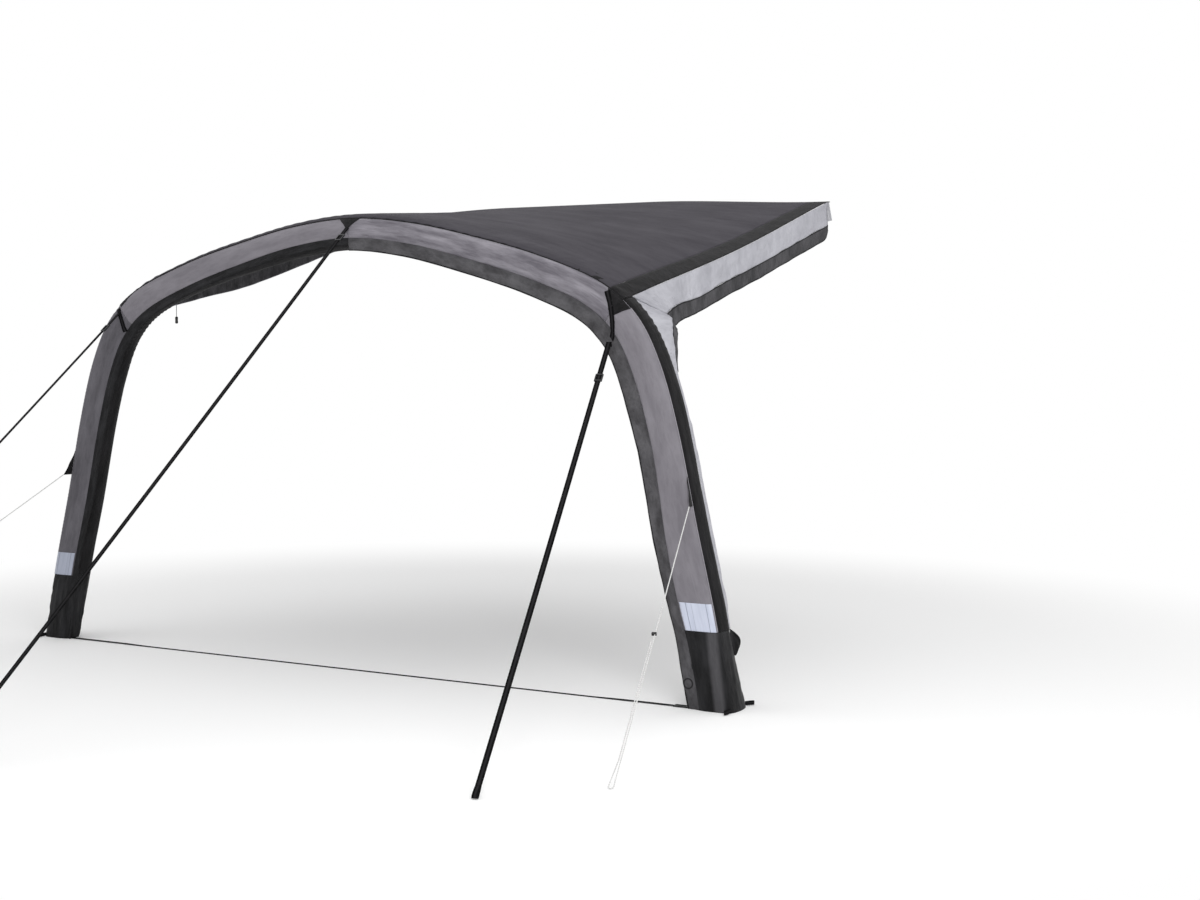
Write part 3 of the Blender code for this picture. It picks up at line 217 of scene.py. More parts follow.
def smooth_line(points, samples):
    """A smooth curve through the points, with so many steps between each two."""
    ends = [points[0] * 2 - points[1], *points, points[-1] * 2 - points[-2]]
    line = []
    for a, b, c, d in zip(ends, ends[1:], ends[2:], ends[3:]):
        for step in range(samples):
            t = step / samples
            curve = (2 * a - 5 * b + 4 * c - d) * t**2 + (3 * b - a - 3 * c + d) * t**3
            line.append((2 * b + (c - a) * t + curve) / 2)
    return [*line, points[-1].copy()]


def taut_line(start, end, sag, count):
    """Points along a line that is pulled tight and sags a little in the middle."""
    shares = [i / (count - 1) for i in range(count)]
    return [mix(start, end, s) - Vector((0, 0, 4 * sag * s * (1 - s))) for s in shares]


def length_of(line):
    return sum((b - a).length for a, b in zip(line, line[1:]))


def along_line(line, share):
    """The point at a share of a line's length, and the line's direction there."""
    left = share * length_of(line)
    for a, b in zip(line, line[1:]):
        if left <= (b - a).length or b is line[-1]:
            return mix(a, b, left / (b - a).length), (b - a).normalized()
        left -= (b - a).length


crown_height = 0.0002
weave_step = 0.012


def webbing(name, line, across, width, finish, rows=None, thickness=0.0018):
    """A flat strap along a line, with a slightly crowned face."""
    def point(share, along):
        centre, ahead = along_line(line, along)
        broad = (across - ahead * across.dot(ahead)).normalized()
        flat = ahead.cross(broad)
        if flat.y > 0:
            flat = -flat
        crown = (1 - (2 * share - 1) ** 2) * crown_height
        return centre + broad * width * (share - 0.5) + flat * crown

    long = length_of(line)
    return lay(name, rows or max(int(long / weave_step), 6), 6, point, (width, long), finish, thickness)


rib_pitch, thread_pitch = 0.0022, 0.003
rib_height = 0.00018


def webbing_finish(name, colour, stripe, width):
    """Ribbed webbing: fine ribs across, selvedges along both edges, and a stripe down the middle."""
    finish = Finish(name, roughness=0.8, specular=0.04)
    across, along = finish.measured()
    off_middle = (across - width / 2).size()
    middle = off_middle.falling(width * 0.13, width * 0.19)
    ribs = ((along * (math.tau / rib_pitch)).sine() * (across * (math.tau / thread_pitch)).sine()) * 0.5 + 0.5
    worn = finish.clouds(25, 4, 0.6)
    dusty = tuple(mix(a, b, 0.04) for a, b in zip(colour, paint(150, 148, 145)))
    plain = finish.blend(worn.rising(0.45, 0.8), colour, dusty)
    finish.colour(finish.blend(middle * (0.55 + ribs * 0.45), plain, stripe))
    selvedge = off_middle.rising(width * 0.42, width * 0.46)
    finish.raised(ribs * rib_height + selvedge * 0.0002)
    return finish


def fit(piece, node, body="awning"):
    """The piece moves with its body. It takes the place of the node, where it has one."""
    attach(piece, body)
    if node:
        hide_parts(node)


strap_width = 0.025
strap_sag = 0.008
peg_loop_length = 0.05
black_webbing = webbing_finish("black_webbing", paint(10, 10, 11), paint(40, 39, 41), strap_width)
storm_straps = {
    "right": ((1.48656, -1.1106, 1.63693), (1.98979, -2.91343, 0.03902), (2.0, -2.9501, 0.0066)),
    "left": ((-1.53371, -1.11626, 1.78668), (-1.99103, -2.91478, 0.04083), (-2.0, -2.9501, 0.0066)),
    "centre": ((0, -1.11326, 2.19338), (0, -3.62216, 0.03916), (0, -3.6601, 0.0066)),
}
loop_shares = ((0.0, 0.5), (0.35, 1.5), (0.7, 2.1), (0.91, 1.7), (1.0, 0.55))


def webbing_loop(name, start, along, across, length, width, thickness, finish):
    """A loop of webbing whose two ends are sewn together where it starts."""
    aside = along.cross(across).normalized() * (thickness + 0.0003)
    out = [start + along * length * reach + aside * rise for reach, rise in loop_shares]
    back = [start + along * length * reach - aside * rise for reach, rise in reversed(loop_shares)]
    return webbing(name, smooth_line([*out, *back], 5), across, width, finish, rows=50, thickness=thickness * 0.9)


for hand, places in storm_straps.items():
    start, end, peg = (Vector(place) for place in places)
    line = taut_line(start, end, strap_sag, 25)
    run = (peg - end).normalized()
    across = run.cross(Vector((0, 0, 1))).normalized()
    strap = webbing(f"storm_webbing_{hand}", line, across, strap_width, black_webbing, rows=160, thickness=0.002)
    loop = webbing_loop(f"peg_webbing_{hand}", end + run * 0.0003, run, across, peg_loop_length, strap_width, 0.0022,
                        black_webbing)
    fit(strap, f"storm_strap_{hand}")
    fit(loop, f"storm_peg_loop_{hand}")
    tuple(start)
    round(length_of(line), 3)


# Guy lines. White braided cord of 5 mm, knotted to a tab on each leg, led down to a peg, round it and back up to a
# plastic runner that tightens it.

def braided(name, colour, shade, pitch, radius):
    """Braided cord: strands that cross at a slant, with painted shade between them, so they look lighter on top; worn
    patches are darker.
    """
    finish = Finish(name, roughness=0.7, sheen=0.1)
    height, = finish.measured("Z", "Object")
    slant = finish.clouds(1 / pitch, 1, 0.4, kind="Object")
    strands = (height * (math.tau / pitch) + slant * 6).sine() * 0.5 + 0.5
    worn = finish.clouds(14, 4, 0.6, kind="Object").rising(0.5, 0.8)
    finish.colour(finish.blend(strands * 0.45 + worn * 0.25, colour, shade))
    finish.raised(strands * radius * 0.12)
    return finish


def tube(name, points, radius, finish, resolution=3):
    """A round cord along points, closed at its ends."""
    path = bpy.data.curves.new(name, "CURVE")
    path.dimensions = "3D"
    path.bevel_depth = radius
    path.bevel_resolution = resolution
    path.use_fill_caps = True
    spline = path.splines.new("POLY")
    spline.points.add(len(points) - 1)
    for knot, point in zip(spline.points, points):
        knot.co = (*point, 1)
    path.materials.append(finish.material)
    piece = bpy.data.objects.new(name, path)
    bpy.context.scene.collection.objects.link(piece)
    return piece


cord_radius = 0.0025
peg_bend = 0.01
runner_gap = 0.0085
white_braid = braided("white_braid", paint(214, 214, 213), paint(164, 164, 163), 0.006, cord_radius)
guy_ends = {
    "right": ((1.91791, -1.14992, 0.91104), (2.354, -2.5701, 0.005)),
    "left": ((-1.93318, -1.14992, 0.91104), (-2.354, -2.5701, 0.005)),
}
for hand, places in guy_ends.items():
    start, peg = (Vector(place) for place in places)
    run = (peg - start).normalized()
    across = run.cross(Vector((0, 0, 1))).normalized() * (1 if peg.x > 0 else -1)
    bend = peg - run * peg_bend
    down = taut_line(start, bend, 0.004, 26)
    turns = [math.pi * i / 8 for i in range(1, 8)]
    turn = [bend + (across * (1 - math.cos(t)) + run * math.sin(t)) * peg_bend for t in turns]
    back = [point + across * mix(2 * peg_bend, runner_gap, eased(share_between(0, 2, i)))
            for i, point in enumerate(reversed(down))][:13]
    route = [*down, *turn, *back]
    cord = tube(f"guy_cord_{hand}", route, cord_radius, white_braid)
    fit(cord, f"guy_line_{hand}")
    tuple(route[0])
    round(length_of(route), 3)


# Ground strap. Narrow black webbing that lies on the ground from boot to boot and keeps the feet from spreading,
# with a plastic buckle near the right boot.

ground_width = 0.02
ground_left, ground_right, ground_y = -1.97358, 1.92839, -1.0751
on_ground, at_boots = 0.0014, 0.0043
thin_webbing = webbing_finish("thin_webbing", paint(16, 16, 17), paint(36, 36, 38), ground_width)
ground_line = []
for i in range(29):
    x = mix(ground_left, ground_right, i / 28)
    rise = eased(share_between(ground_right - 0.55, ground_right - 0.37, abs(x)))
    ground_line.append(Vector((x, ground_y, mix(on_ground, at_boots, rise))))
ground_webbing = webbing("ground_webbing", ground_line, Vector((0, 1, 0)), ground_width, thin_webbing, rows=220)
fit(ground_webbing, "ground_strap")
round(length_of(ground_line), 3)


# Pull cord. A short black braided cord of 3 mm under the left end of the beam. It is sewn in at its top, and a
# plastic toggle is moulded on its lower end.

pull_radius = 0.0015
pull_length = 0.066
black_braid = braided("black_braid", paint(24, 24, 25), paint(52, 52, 54), 0.004, pull_radius)
pull_top = Vector((-1.248826, -0.982386, 1.835138))
pull_route = [pull_top - Vector((0, 0, pull_length * i / 16)) for i in range(17)]
pull_braid = tube("pull_braid", pull_route, pull_radius, black_braid)
fit(pull_braid, "pull_cord", "pull_toggle")


# Sleeve of the arch, in front. Grey woven polyester sewn round the air beam, a panel for each leg and each half of
# the beam. It is drawn tight by the pressure, with soft folds along it and small puckers where it is sewn.

foot_half_span = 2.02
apex_height = 2.178
corner_height = 0.815 * apex_height
arch_y = -1.0251
sleeve_radius = 0.086
seam_gap = 0.0008
row_gap = 0.0004
cloth_below = 0.0008
layer = 0.0023
seam_angle = math.radians(47)
seam_inset = 0.0046
leg_inner_degrees, apex_inner_degrees = -46, -27
boot_height = 0.355
boot_flare = 0.005
left_lean = 0.045
spine_shares = (
    (1.0, 0.0), (0.965, 0.184), (0.918, 0.367), (0.874, 0.551), (0.829, 0.689), (0.772, 0.787),
    (0.680, 0.855), (0.520, 0.911), (0.3465, 0.953), (0.173, 0.986), (0.0, 1.0), (-0.173, 0.986),
)
spine = smooth_line([Vector((x * foot_half_span, z * apex_height)) for x, z in spine_shares], 24)[:-24]
spine_lengths = [0.0]
for here, there in zip(spine, spine[1:]):
    spine_lengths.append(spine_lengths[-1] + (there - here).length)
apex = spine_lengths[-1]


def station_at(height):
    """How far along the beam, from the right foot's sole, its centre reaches a height."""
    for low, high, a, b in zip(spine, spine[1:], spine_lengths, spine_lengths[1:]):
        if high.y >= height:
            return mix(a, b, share_between(low.y, high.y, height))
    return apex


boot_top = station_at(boot_height)
band_top = station_at(boot_height + 0.125)
tab_low, tab_high = station_at(0.895), station_at(1.025)
shoulder_start, corner = station_at(0.6336 * apex_height), station_at(corner_height)
shoulder_end = station_at(0.886 * apex_height)
band_edge = corner + 0.078
beam_steps = 700
beam_centres, beam_outwards = [], []
for step in range(beam_steps + 1):
    station = apex * step / beam_steps
    high = next((i for i, length in enumerate(spine_lengths) if length > station), len(spine) - 1)
    share = share_between(spine_lengths[high - 1], spine_lengths[high], station)
    after = spine[high + 1] if high + 1 < len(spine) else Vector((-spine[-2].x, spine[-2].y))
    start = (spine[high] - spine[max(high - 2, 0)]).normalized()
    end = (after - spine[high - 1]).normalized()
    direction = mix(start, end, share).normalized()
    square = Vector((direction.y, -direction.x))
    outward = mix(Vector((1, 0)), square, eased(share_between(band_top, tab_low, station))).normalized()
    beam_centres.append(mix(spine[high - 1], spine[high], share))
    beam_outwards.append(outward)


def beam_at(station):
    """The beam's centre in the arch's plane, and the direction there that points away from under the arch."""
    place = min(max(station / apex, 0.0), 1.0) * beam_steps
    return at_row(beam_centres, place), at_row(beam_outwards, place)


def place_on(station, side, forward):
    centre, outward = beam_at(station)
    return Vector((centre.x + outward.x * side, arch_y - forward, centre.y + outward.y * side))


def read_table(table, place):
    """What a table of places and values says at a place, in a straight line from each value to the next."""
    for (low, before), (high, after) in zip(table, table[1:]):
        if place <= high:
            return mix(before, after, share_between(low, high, place))
    return table[-1][1]


leg_centres = [(spine[i].y, spine[i].x) for i in range(0, len(spine), 6)]
fullness = ((0.0, 0.0), (0.1, 0.0), (0.31, 0.015), (0.42, 0.03), (0.52, 0.034), (0.62, 0.032),
            (0.75, 0.025), (0.95, 0.01), (1.15, 0.0))


def on_side(hand, point):
    """The point on the right, where the leg is fuller inside above its boot. On the left it is mirrored, and the leg
    leans out to its foot."""
    if hand == "right":
        inside = share_between(0.0, sleeve_radius, read_table(leg_centres, point.z) - point.x)
        return Vector((point.x - read_table(fullness, point.z) * inside, point.y, point.z))
    drop = 1 - share_between(0.0, corner_height, point.z)
    return Vector((-point.x - left_lean * drop**1.5, point.y, point.z))


def sleeve_reach(station, angle):
    """The sleeve's radius: round behind, squarer in front on the legs than on the beam."""
    if math.cos(angle) <= 0:
        return sleeve_radius
    power = mix(4.6, 2.1, eased(share_between(shoulder_start, shoulder_end, station)))
    return sleeve_radius / (abs(math.sin(angle)) ** power + abs(math.cos(angle)) ** power) ** (1 / power)


def flare(station):
    return (1 - share_between(0.0, boot_top, station)) ** 1.5


def on_sleeve(station, angle, lift=0.0, heel=0.0):
    """A point on the sleeve or the boot. The angle turns from forward to outward, and lift stands off it."""
    reach = sleeve_reach(station, angle) + lift
    side = (reach + flare(station) * boot_flare) * math.sin(angle)
    forward = reach * math.cos(angle) + flare(station) * heel * min(math.cos(angle), 0.0)
    return place_on(station, side, forward)


def low_angle(station):
    """Where the grey front ends towards the space under the arch."""
    return math.radians(mix(leg_inner_degrees, apex_inner_degrees, eased(share_between(corner, apex, station))))


def fold(*place):
    return noise.noise(Vector(place))


def pucker(station, from_seam, pitch=0.021, depth=0.0011):
    """The small waves that a row of stitches gathers beside it."""
    wander = fold(station * 9, from_seam * 3, 4.1) * 2
    return depth * math.sin(math.tau * station / pitch + wander) * math.exp(-abs(from_seam) / 0.012)


front_seeds = {"right": 3.7, "left": 9.2}


def front_folds(station, angle, hand):
    """How far the grey front stands off the round beam: soft folds along it, and puckers at both seams."""
    seed = front_seeds[hand]
    round_it = angle * sleeve_radius
    long_folds = fold(station * 1.3 + seed, round_it * 26, seed) * 0.0034
    pulls = fold(station * 4.2 + round_it * 16, round_it * 22 - station * 2.4, seed + 5) * 0.0018
    shoulder = math.exp(-((station - corner) / 0.22) ** 2)
    crush = fold(station * 16 + round_it * 12, round_it * 30 - station * 5, seed + 2) * 0.0028 * shoulder
    inner = (angle - low_angle(station)) * sleeve_radius
    outer = (seam_angle - angle) * sleeve_radius
    edge = min(inner, outer)
    room = eased(share_between(-0.004, 0.022, edge))
    puckers = pucker(station, inner) + pucker(station + 0.4, outer)
    return outward_only((long_folds + pulls + crush) * room + puckers) - cloth_below


def outward_only(fold_height):
    """Folds stand off the beam; between them the cloth lies on it."""
    return (fold_height + math.sqrt(fold_height**2 + 0.0000004)) / 2


def front_panel_edge(station, share):
    return mix(low_angle(station) + seam_inset, seam_angle - seam_inset, share)


def front_surface(station, share, hand, lift=0.0):
    angle = front_panel_edge(station, share)
    return on_sleeve(station, angle, front_folds(station, angle, hand) + lift)


def woven(name, colour, faded, crumple=0.0006, streaks=(1, 1, 1), turn=0.0, lumps=14, pitch=0.0016, sheen=0.03,
          roughness=0.82, cloud=0.5):
    """Plain-woven cloth: the threads' relief, slow changes of shade, and creases left from being packed."""
    finish = Finish(name, roughness=roughness, sheen=sheen, specular=0.12)
    across, along = finish.measured()
    threads = (across * (math.tau / pitch)).sine() * (along * (math.tau / pitch)).sine()
    shade = finish.clouds(lumps * 0.4, 5, 0.55, streaks, turn)
    creases = ((finish.clouds(lumps, 4, 0.55, streaks, turn) - 0.5).size() * 7).rising(0.0, 1.0)
    small = finish.clouds(lumps * 5, 3, 0.6, streaks, turn)
    tone = shade.rising(0.32, 0.72) * cloud + threads * 0.06 + (1 - creases) * 0.18
    finish.colour(finish.blend(tone, colour, faded))
    finish.give(Roughness=roughness - shade * 0.08)
    finish.raised(threads * 0.00006 + creases * crumple + small * crumple * 0.7)
    return finish


grey_cloth = woven("grey_cloth", paint(112, 109, 115), paint(140, 137, 143), 0.0005, (3.2, 0.8, 1), lumps=9)
# On the right half of the beam the grey runs lighter and darker in strong slanting streaks: painted light and shade
# of the folds that fan across it, over the cloth's own varying tone.
beam_cloth_painted_folds = woven("beam_cloth_painted_folds", paint(92, 89, 96), paint(146, 143, 150), 0.0012, (4.5, 0.7, 1), 0.3,
                   lumps=9, cloud=0.9)
# shaded_cloth is the grey cloth made darker for the left leg: painted shade, for that side falls in shade.
shaded_cloth = woven("shaded_cloth", paint(80, 78, 83), paint(112, 110, 116), 0.0005, (3.2, 0.8, 1), lumps=9)
sleeve_parts = (("leg", boot_top, corner), ("beam", corner, apex))
for hand in ("right", "left"):
    for part, start, end in sleeve_parts:
        def front_point(share, along):
            return on_side(hand, front_surface(mix(start + row_gap, end - row_gap, along), share, hand))

        width = (seam_angle - low_angle((start + end) / 2)) * sleeve_radius * 1.1
        cloth = {("leg", "left"): shaded_cloth, ("beam", "right"): beam_cloth_painted_folds}.get((part, hand), grey_cloth)
        panel = lay(f"front_cloth_{part}_{hand}", 190, 26, front_point, (width, end - start), cloth)
        fit(panel, f"front_panel_{part}_{hand}")
        end - start


# Sleeve of the arch, behind and inside. Near-black cloth that closes the sleeve round the beam; it takes the slack,
# so its folds are deeper, and at the shoulders it bunches.

black_sleeve = woven("black_sleeve", paint(9, 9, 10), paint(34, 33, 35), 0.0009, (2.6, 0.8, 1), lumps=12, cloud=0.7)
back_seeds = {"right": 12.3, "left": 17.9}
back_steps = 18
both_insets = 0.0093


def back_angle(station, steps):
    """How far round the sleeve a number of steps lies, of the equal steps from the outer seam to the inner one."""
    step = (math.tau + low_angle(station) - seam_angle - both_insets) / back_steps
    return seam_angle + seam_inset + steps * step


def back_folds(station, angle, hand):
    """How far the dark back stands off the beam: deeper folds than in front, bunched at the shoulder."""
    seed = back_seeds[hand]
    round_it = angle * sleeve_radius
    long_folds = fold(station * 1.6 + seed, round_it * 24, seed) * 0.0042
    pulls = fold(station * 7, round_it * 9 + station * 3, seed + 4) * 0.0022
    shoulder = math.exp(-((station - corner + 0.02) / 0.2) ** 2)
    bunched = math.sin(station * 190 + fold(station * 7, round_it * 5, seed) * 5) * 0.0036 * shoulder
    outer = (angle - seam_angle) * sleeve_radius
    inner = (math.tau + low_angle(station) - angle) * sleeve_radius
    room = eased(share_between(-0.003, 0.02, min(outer, inner)))
    puckers = pucker(station + 0.2, outer) + pucker(station, inner)
    return outward_only((long_folds + pulls + bunched) * room + puckers) - cloth_below


for hand in ("right", "left"):
    for part, start, end in sleeve_parts:
        def back_point(share, along):
            station = mix(start + row_gap, end - row_gap, along)
            angle = mix(seam_angle + seam_inset, math.tau + low_angle(station) - seam_inset, share)
            under_roof = share_between(1.7, 1.2, angle) if station > corner else 0
            lift = back_folds(station, angle, hand) * (1 - under_roof)
            return on_side(hand, on_sleeve(station, angle, lift))

        width = 4.8 * sleeve_radius
        panel = lay(f"back_cloth_{part}_{hand}", 190, 60, back_point, (width, end - start), black_sleeve)
        fit(panel, f"sleeve_{part}_{hand}")
        end - start


# Piping. A thin covered cord sewn into the seam between the grey front and the dark back of each leg; on the beam
# the same seam holds the roof.

pale_piping = woven("pale_piping", paint(138, 135, 141), paint(160, 157, 163), 0.0001, lumps=60)
for hand in ("right", "left"):
    seam = []
    for i in range(150):
        station = mix(boot_top + 0.002, corner - 0.05, i / 149)
        point = on_sleeve(station, seam_angle, 0.0006 + pucker(station, 0.0) * 0.5)
        seam.append(on_side(hand, point))
    fit(tube(f"leg_piping_{hand}", seam, 0.0019, pale_piping, 2), None)


# Flap along the inner front edge. A single layer of charcoal cloth sewn under the grey front, bound with black tape
# along its free edge. It hangs a little loose, and over the valve it shows the valve's ring.

flap_shares = ((0.0, 0.65), (0.06, 0.82), (0.16, 0.68), (0.26, 0.6), (0.33, 0.64), (0.42, 0.72), (0.6, 0.92),
               (0.7, 1.0), (1.0, 1.0))
flap_on_leg, flap_at_apex = 0.074, 0.052
flap_part = {"right": 1.0, "left": 0.5}
flap_seeds = {"right": 21.0, "left": 31.0}
turned_in = 0.08
valve_centre = (1.89, -1.1, 0.115)
valve_ring = 0.022


def flap_width(station):
    """The flap's width on the right; on the leg its table is smoothed over a tenth of the leg's length."""
    on_leg = sum(read_table(flap_shares, station / corner + step) for step in (-0.05, -0.02, 0.0, 0.02, 0.05)) / 5
    return mix(flap_on_leg * on_leg, flap_at_apex, share_between(corner, apex, station))


flap_cloth = woven("flap_cloth", paint(56, 55, 57), paint(92, 91, 94), 0.0014, (1.6, 1, 1), lumps=16, cloud=0.8)
# A dark ring on the right flap round the valve's rim: painted shade in the groove where the cloth follows the ring.
from_valve = flap_cloth.node("VectorMath", {"operation": "DISTANCE"},
                             {0: flap_cloth.place("Object"), 1: valve_centre}, "Value")
flap_cloth.mark((from_valve - valve_ring).size().falling(0.0012, 0.005), paint(30, 30, 31))
# shaded_flap is the flap cloth made darker for the left flap: painted shade.
shaded_flap = woven("shaded_flap", paint(22, 22, 23), paint(44, 44, 46), 0.0014, (1.6, 1, 1), lumps=16, cloud=0.8)
flap_binding = woven("flap_binding", paint(20, 20, 21), paint(36, 36, 38), 0.0002, lumps=50)


def flap_point(station, share, hand):
    """A point of the flap: its first part is turned in over the seam, and the rest hangs off it, a little loose."""
    low = low_angle(station) + seam_inset
    over = low + 0.008 / sleeve_radius
    lift = mix(seam_gap, layer, 0.5)
    seam = on_sleeve(station, low, lift)
    if share < turned_in:
        return on_sleeve(station, mix(over, low, share / turned_in), lift + 0.0005)
    out = (share - turned_in) / (1 - turned_in)
    _, outward = beam_at(station)
    inward = Vector((-outward.x, 0, -outward.y)) * (flap_width(station) * flap_part[hand])
    seed = flap_seeds[hand]
    loose = eased(share_between(0.1, 0.7, out))
    wave = fold(station * 3.1 + seed, out * 1.2, seed) * 0.009 * loose
    crumple = fold(station * 11 + seed, out * 4, seed + 3) * 0.0035 * eased(share_between(0, 0.35, out))
    place = seam + inward * out + Vector((0, 0.006 * out**2, 0))
    middle = Vector((valve_centre[0], valve_centre[2]))
    away = (Vector((place.x, place.z)) - middle).length if hand == "right" else 1
    valve = math.exp(-((away - valve_ring) / 0.0045) ** 2) * 0.0035 + math.exp(-((away / 0.012) ** 2)) * 0.002
    return place + Vector((0, wave + crumple - valve - 0.0012 * out, 0))


for hand, cloth, flat_width in (("right", flap_cloth, 0.075), ("left", shaded_flap, 0.042)):
    def hanging(share, along):
        return on_side(hand, flap_point(mix(seam_gap, apex - row_gap, along), share, hand))

    flap = lay(f"flap_cloth_{hand}", 420, 14, hanging, (0.075, apex), cloth)
    edge = [hanging(0.985, i / 400) for i in range(401)]
    binding = webbing(f"flap_binding_{hand}", edge, Vector((1, 0, 0.3)), 0.007, flap_binding, rows=400)
    fit(flap, f"front_flap_{hand}")
    fit(binding, None)


# Boots. Cups of heavy black coated cloth round the feet of the arch, with a flat sole. The cloth is stiff and
# gathered, so it stands in upright folds.

# The boot cloth's paler upright streaks are painted sheen along its folds, over the cloth's own varying tone.
boot_cloth = woven("boot_cloth", paint(8, 8, 9), paint(40, 40, 42), 0.0014, (3.0, 0.7, 1), lumps=11, cloud=0.9,
                   roughness=0.66)
# A paler, patchy upright band near the outer corner of the right boot's front: a painted highlight where the light
# catches the turn of the boot. The left boot has none.
boot_highlight_x, boot_highlight_lean = 2.055, 0.13
across_boot, up_boot = boot_cloth.measured("XZ", "Object")
from_corner = (across_boot - boot_highlight_x + up_boot * boot_highlight_lean).size()
painted_boot_highlight = from_corner.falling(0.012, 0.036) * (0.35 + boot_cloth.clouds(14, 4, 0.6, (3, 0.6, 1)) * 0.7)
boot_cloth.mark(painted_boot_highlight, paint(84, 83, 86))
boot_round = 0.56
heels = {"right": 0.071, "left": -0.045}
boot_seeds = {"right": 41.0, "left": 47.0}
for hand, heel in heels.items():
    seed = boot_seeds[hand]

    def boot_point(share, along):
        station = mix(seam_gap, boot_top - 0.0006, along)
        angle = seam_angle + math.tau * (share % 1.0)
        low = eased(share_between(0, 0.06, along))
        top = eased(share_between(1.0, 0.9, along))
        upright = math.sin(angle * 9 + fold(angle * 1.5, along * 1.2, seed) * 4) * 0.0028
        crush = fold(math.sin(angle) * 3 + seed, math.cos(angle) * 3, along * 9) * 0.0032
        lift = outward_only((upright + crush) * low * top) - cloth_below
        return on_side(hand, on_sleeve(station, angle, lift, heel))

    boot = lay(f"boot_cloth_{hand}", 60, 96, boot_point, (boot_round, boot_top), boot_cloth, closed=True)
    middle = on_side(hand, Vector((foot_half_span, arch_y, 0.0009)))
    sole = lay(f"boot_sole_{hand}", 10, 96, lambda share, along: mix(middle, boot_point(share, 0.0), along),
               (boot_round, 0.09), boot_cloth, closed=True)
    fit(boot, f"boot_{hand}")
    fit(sole, None)


# Reflective bands. Pale tape of retroreflective cloth sewn across the front above each boot, ribbed, with a line of
# stitching near both ends.

tape_round, tape_width, tape_height = 0.17, 0.15, 0.127
tape_share = (0.1, 0.967)


def reflective_finish(name, bright, dim, line):
    reflective = Finish(name, roughness=0.38, sheen=0.1)
    across, = reflective.measured("X")
    strips = ((across - tape_round * 0.16).size().falling(0.0008, 0.002)
              + (across - tape_round * 0.82).size().falling(0.0008, 0.002)
              + (across - tape_round * 0.31).size().falling(0.0006, 0.0016) * 0.6)
    ribs = (across * (math.tau / 0.004)).sine() * 0.5 + 0.5
    dull = reflective.clouds(9, 4, 0.6, (4, 0.6, 1)).rising(0.35, 0.75)
    silver = reflective.blend(dull * 0.6 + ribs * 0.15, bright, dim)
    reflective.colour(reflective.blend(strips, silver, line))
    reflective.give(Metallic=0.1)
    reflective.raised(ribs * 0.00012 - strips * 0.0004 + dull * 0.0003)
    return reflective


# The left band is a darker copy of the right one: painted shade.
tapes = {
    "right": reflective_finish("reflective_tape", paint(200, 205, 220), paint(172, 178, 196), paint(128, 134, 152)),
    "left": reflective_finish("shaded_tape", paint(168, 173, 188), paint(142, 148, 164), paint(104, 110, 126)),
}
for hand, tape_finish in tapes.items():
    def tape_point(share, along):
        station = mix(boot_top + row_gap, band_top - row_gap, along)
        return on_side(hand, front_surface(station, mix(*tape_share, share), hand, 0.0017))

    tape = lay(f"reflective_tape_{hand}", 26, 26, tape_point, (tape_round, tape_height), tape_finish)
    fit(tape, f"reflective_band_{hand}")


# Roof. Dark coated cloth with a violet cast, sewn to the top of the sleeve and held at the back by its bead. It is
# tight, with faint creases along its rear edge and folds that fan out from the shoulders.

rail_y = 1.1099
roof_end = 1.0873
rail_half = 1.595
band_width = 0.108
rail_height, rail_fall = 2.44, 0.038
roof_sag, sag_reach = 0.022, 1.0675
on_arch = 0.04
roof_flat = (3.1, 2.25)


def rail_x(station):
    """Where the roof that leaves the sleeve at a station ends across the rear edge."""
    inner = rail_half - band_width
    if station > band_edge:
        return inner * (apex - station) / (apex - band_edge)
    return mix(rail_half, inner, share_between(corner, band_edge, station))


def rail_z(x):
    """The height of the rear edge, which falls a little towards both ends."""
    return rail_height - rail_fall * eased(share_between(rail_half - 1.1, rail_half, abs(x)))


def roof_place(station, place, lift):
    """A point of the roof between where it leaves the sleeve, at place 0, and its rear edge, at place 1."""
    start = on_sleeve(station, back_angle(station, 2), layer)
    back = Vector((rail_x(station), roof_end, rail_z(rail_x(station))))
    run = (back - start).normalized()
    _, outward = beam_at(station)
    square = mix(Vector((outward.x, 0, outward.y)), Vector((0, 0, 1)), place)
    square = (square - run * square.dot(run)).normalized()
    sag = 16 * roof_sag * share_between(-sag_reach, sag_reach, apex - station) * place**2 * (1 - place) ** 2
    return mix(start, back, place) - Vector((0, 0, sag)) + square * (lift - layer)


def roof_surface(station, share, lift):
    """The roof from its seam on the sleeve, at share 0, to its rear edge, at share 1."""
    if share < on_arch:
        return on_sleeve(station, back_angle(station, 2 * share / on_arch), lift)
    return roof_place(station, (share - on_arch) / (1 - on_arch), lift)


def roof_folds(x, y, share, from_side):
    """Height of the roof's creases: gathers at the seam, creases along the rear, and a fan from each shoulder."""
    seam = math.sin(x * 84 + fold(x * 4, y * 4, 1.0) * 4) * math.exp(-share / 0.07) * 0.0016
    along_rail = fold(x * 0.9, y * 7 + x * 0.7, 2.0) * 0.0026 * eased(share_between(0.15, 0.6, share))
    second = fold(x * 2.3 + y * 2.0, y * 11, 5.0) * 0.0013
    slow = fold(x * 1.1, y * 1.3, 3.0) * 0.004
    reach = Vector((1.55 - abs(x), y + 0.98))
    turn = math.atan2(reach.y, max(reach.x, 0.001))
    fan = math.sin(turn * 34 + fold(turn * 6, reach.length * 3, 7.0) * 3) * 0.0038 * math.exp(-reach.length / 0.3)
    room = eased(share_between(0.0, 0.05, from_side)) * eased(share_between(1.0, 0.95, share))
    return (along_rail + second + slow + fan * eased(share_between(0.0, 0.1, reach.length))) * room + seam * room


roof_cloth = woven("roof_cloth", paint(62, 60, 65), paint(78, 76, 81), 0.0007, (0.9, 2.6, 1), lumps=5,
                   roughness=0.7, cloud=0.6)
roof_cloth.give(**{"Specular IOR Level": 0.02, "Sheen Weight": 0.0})


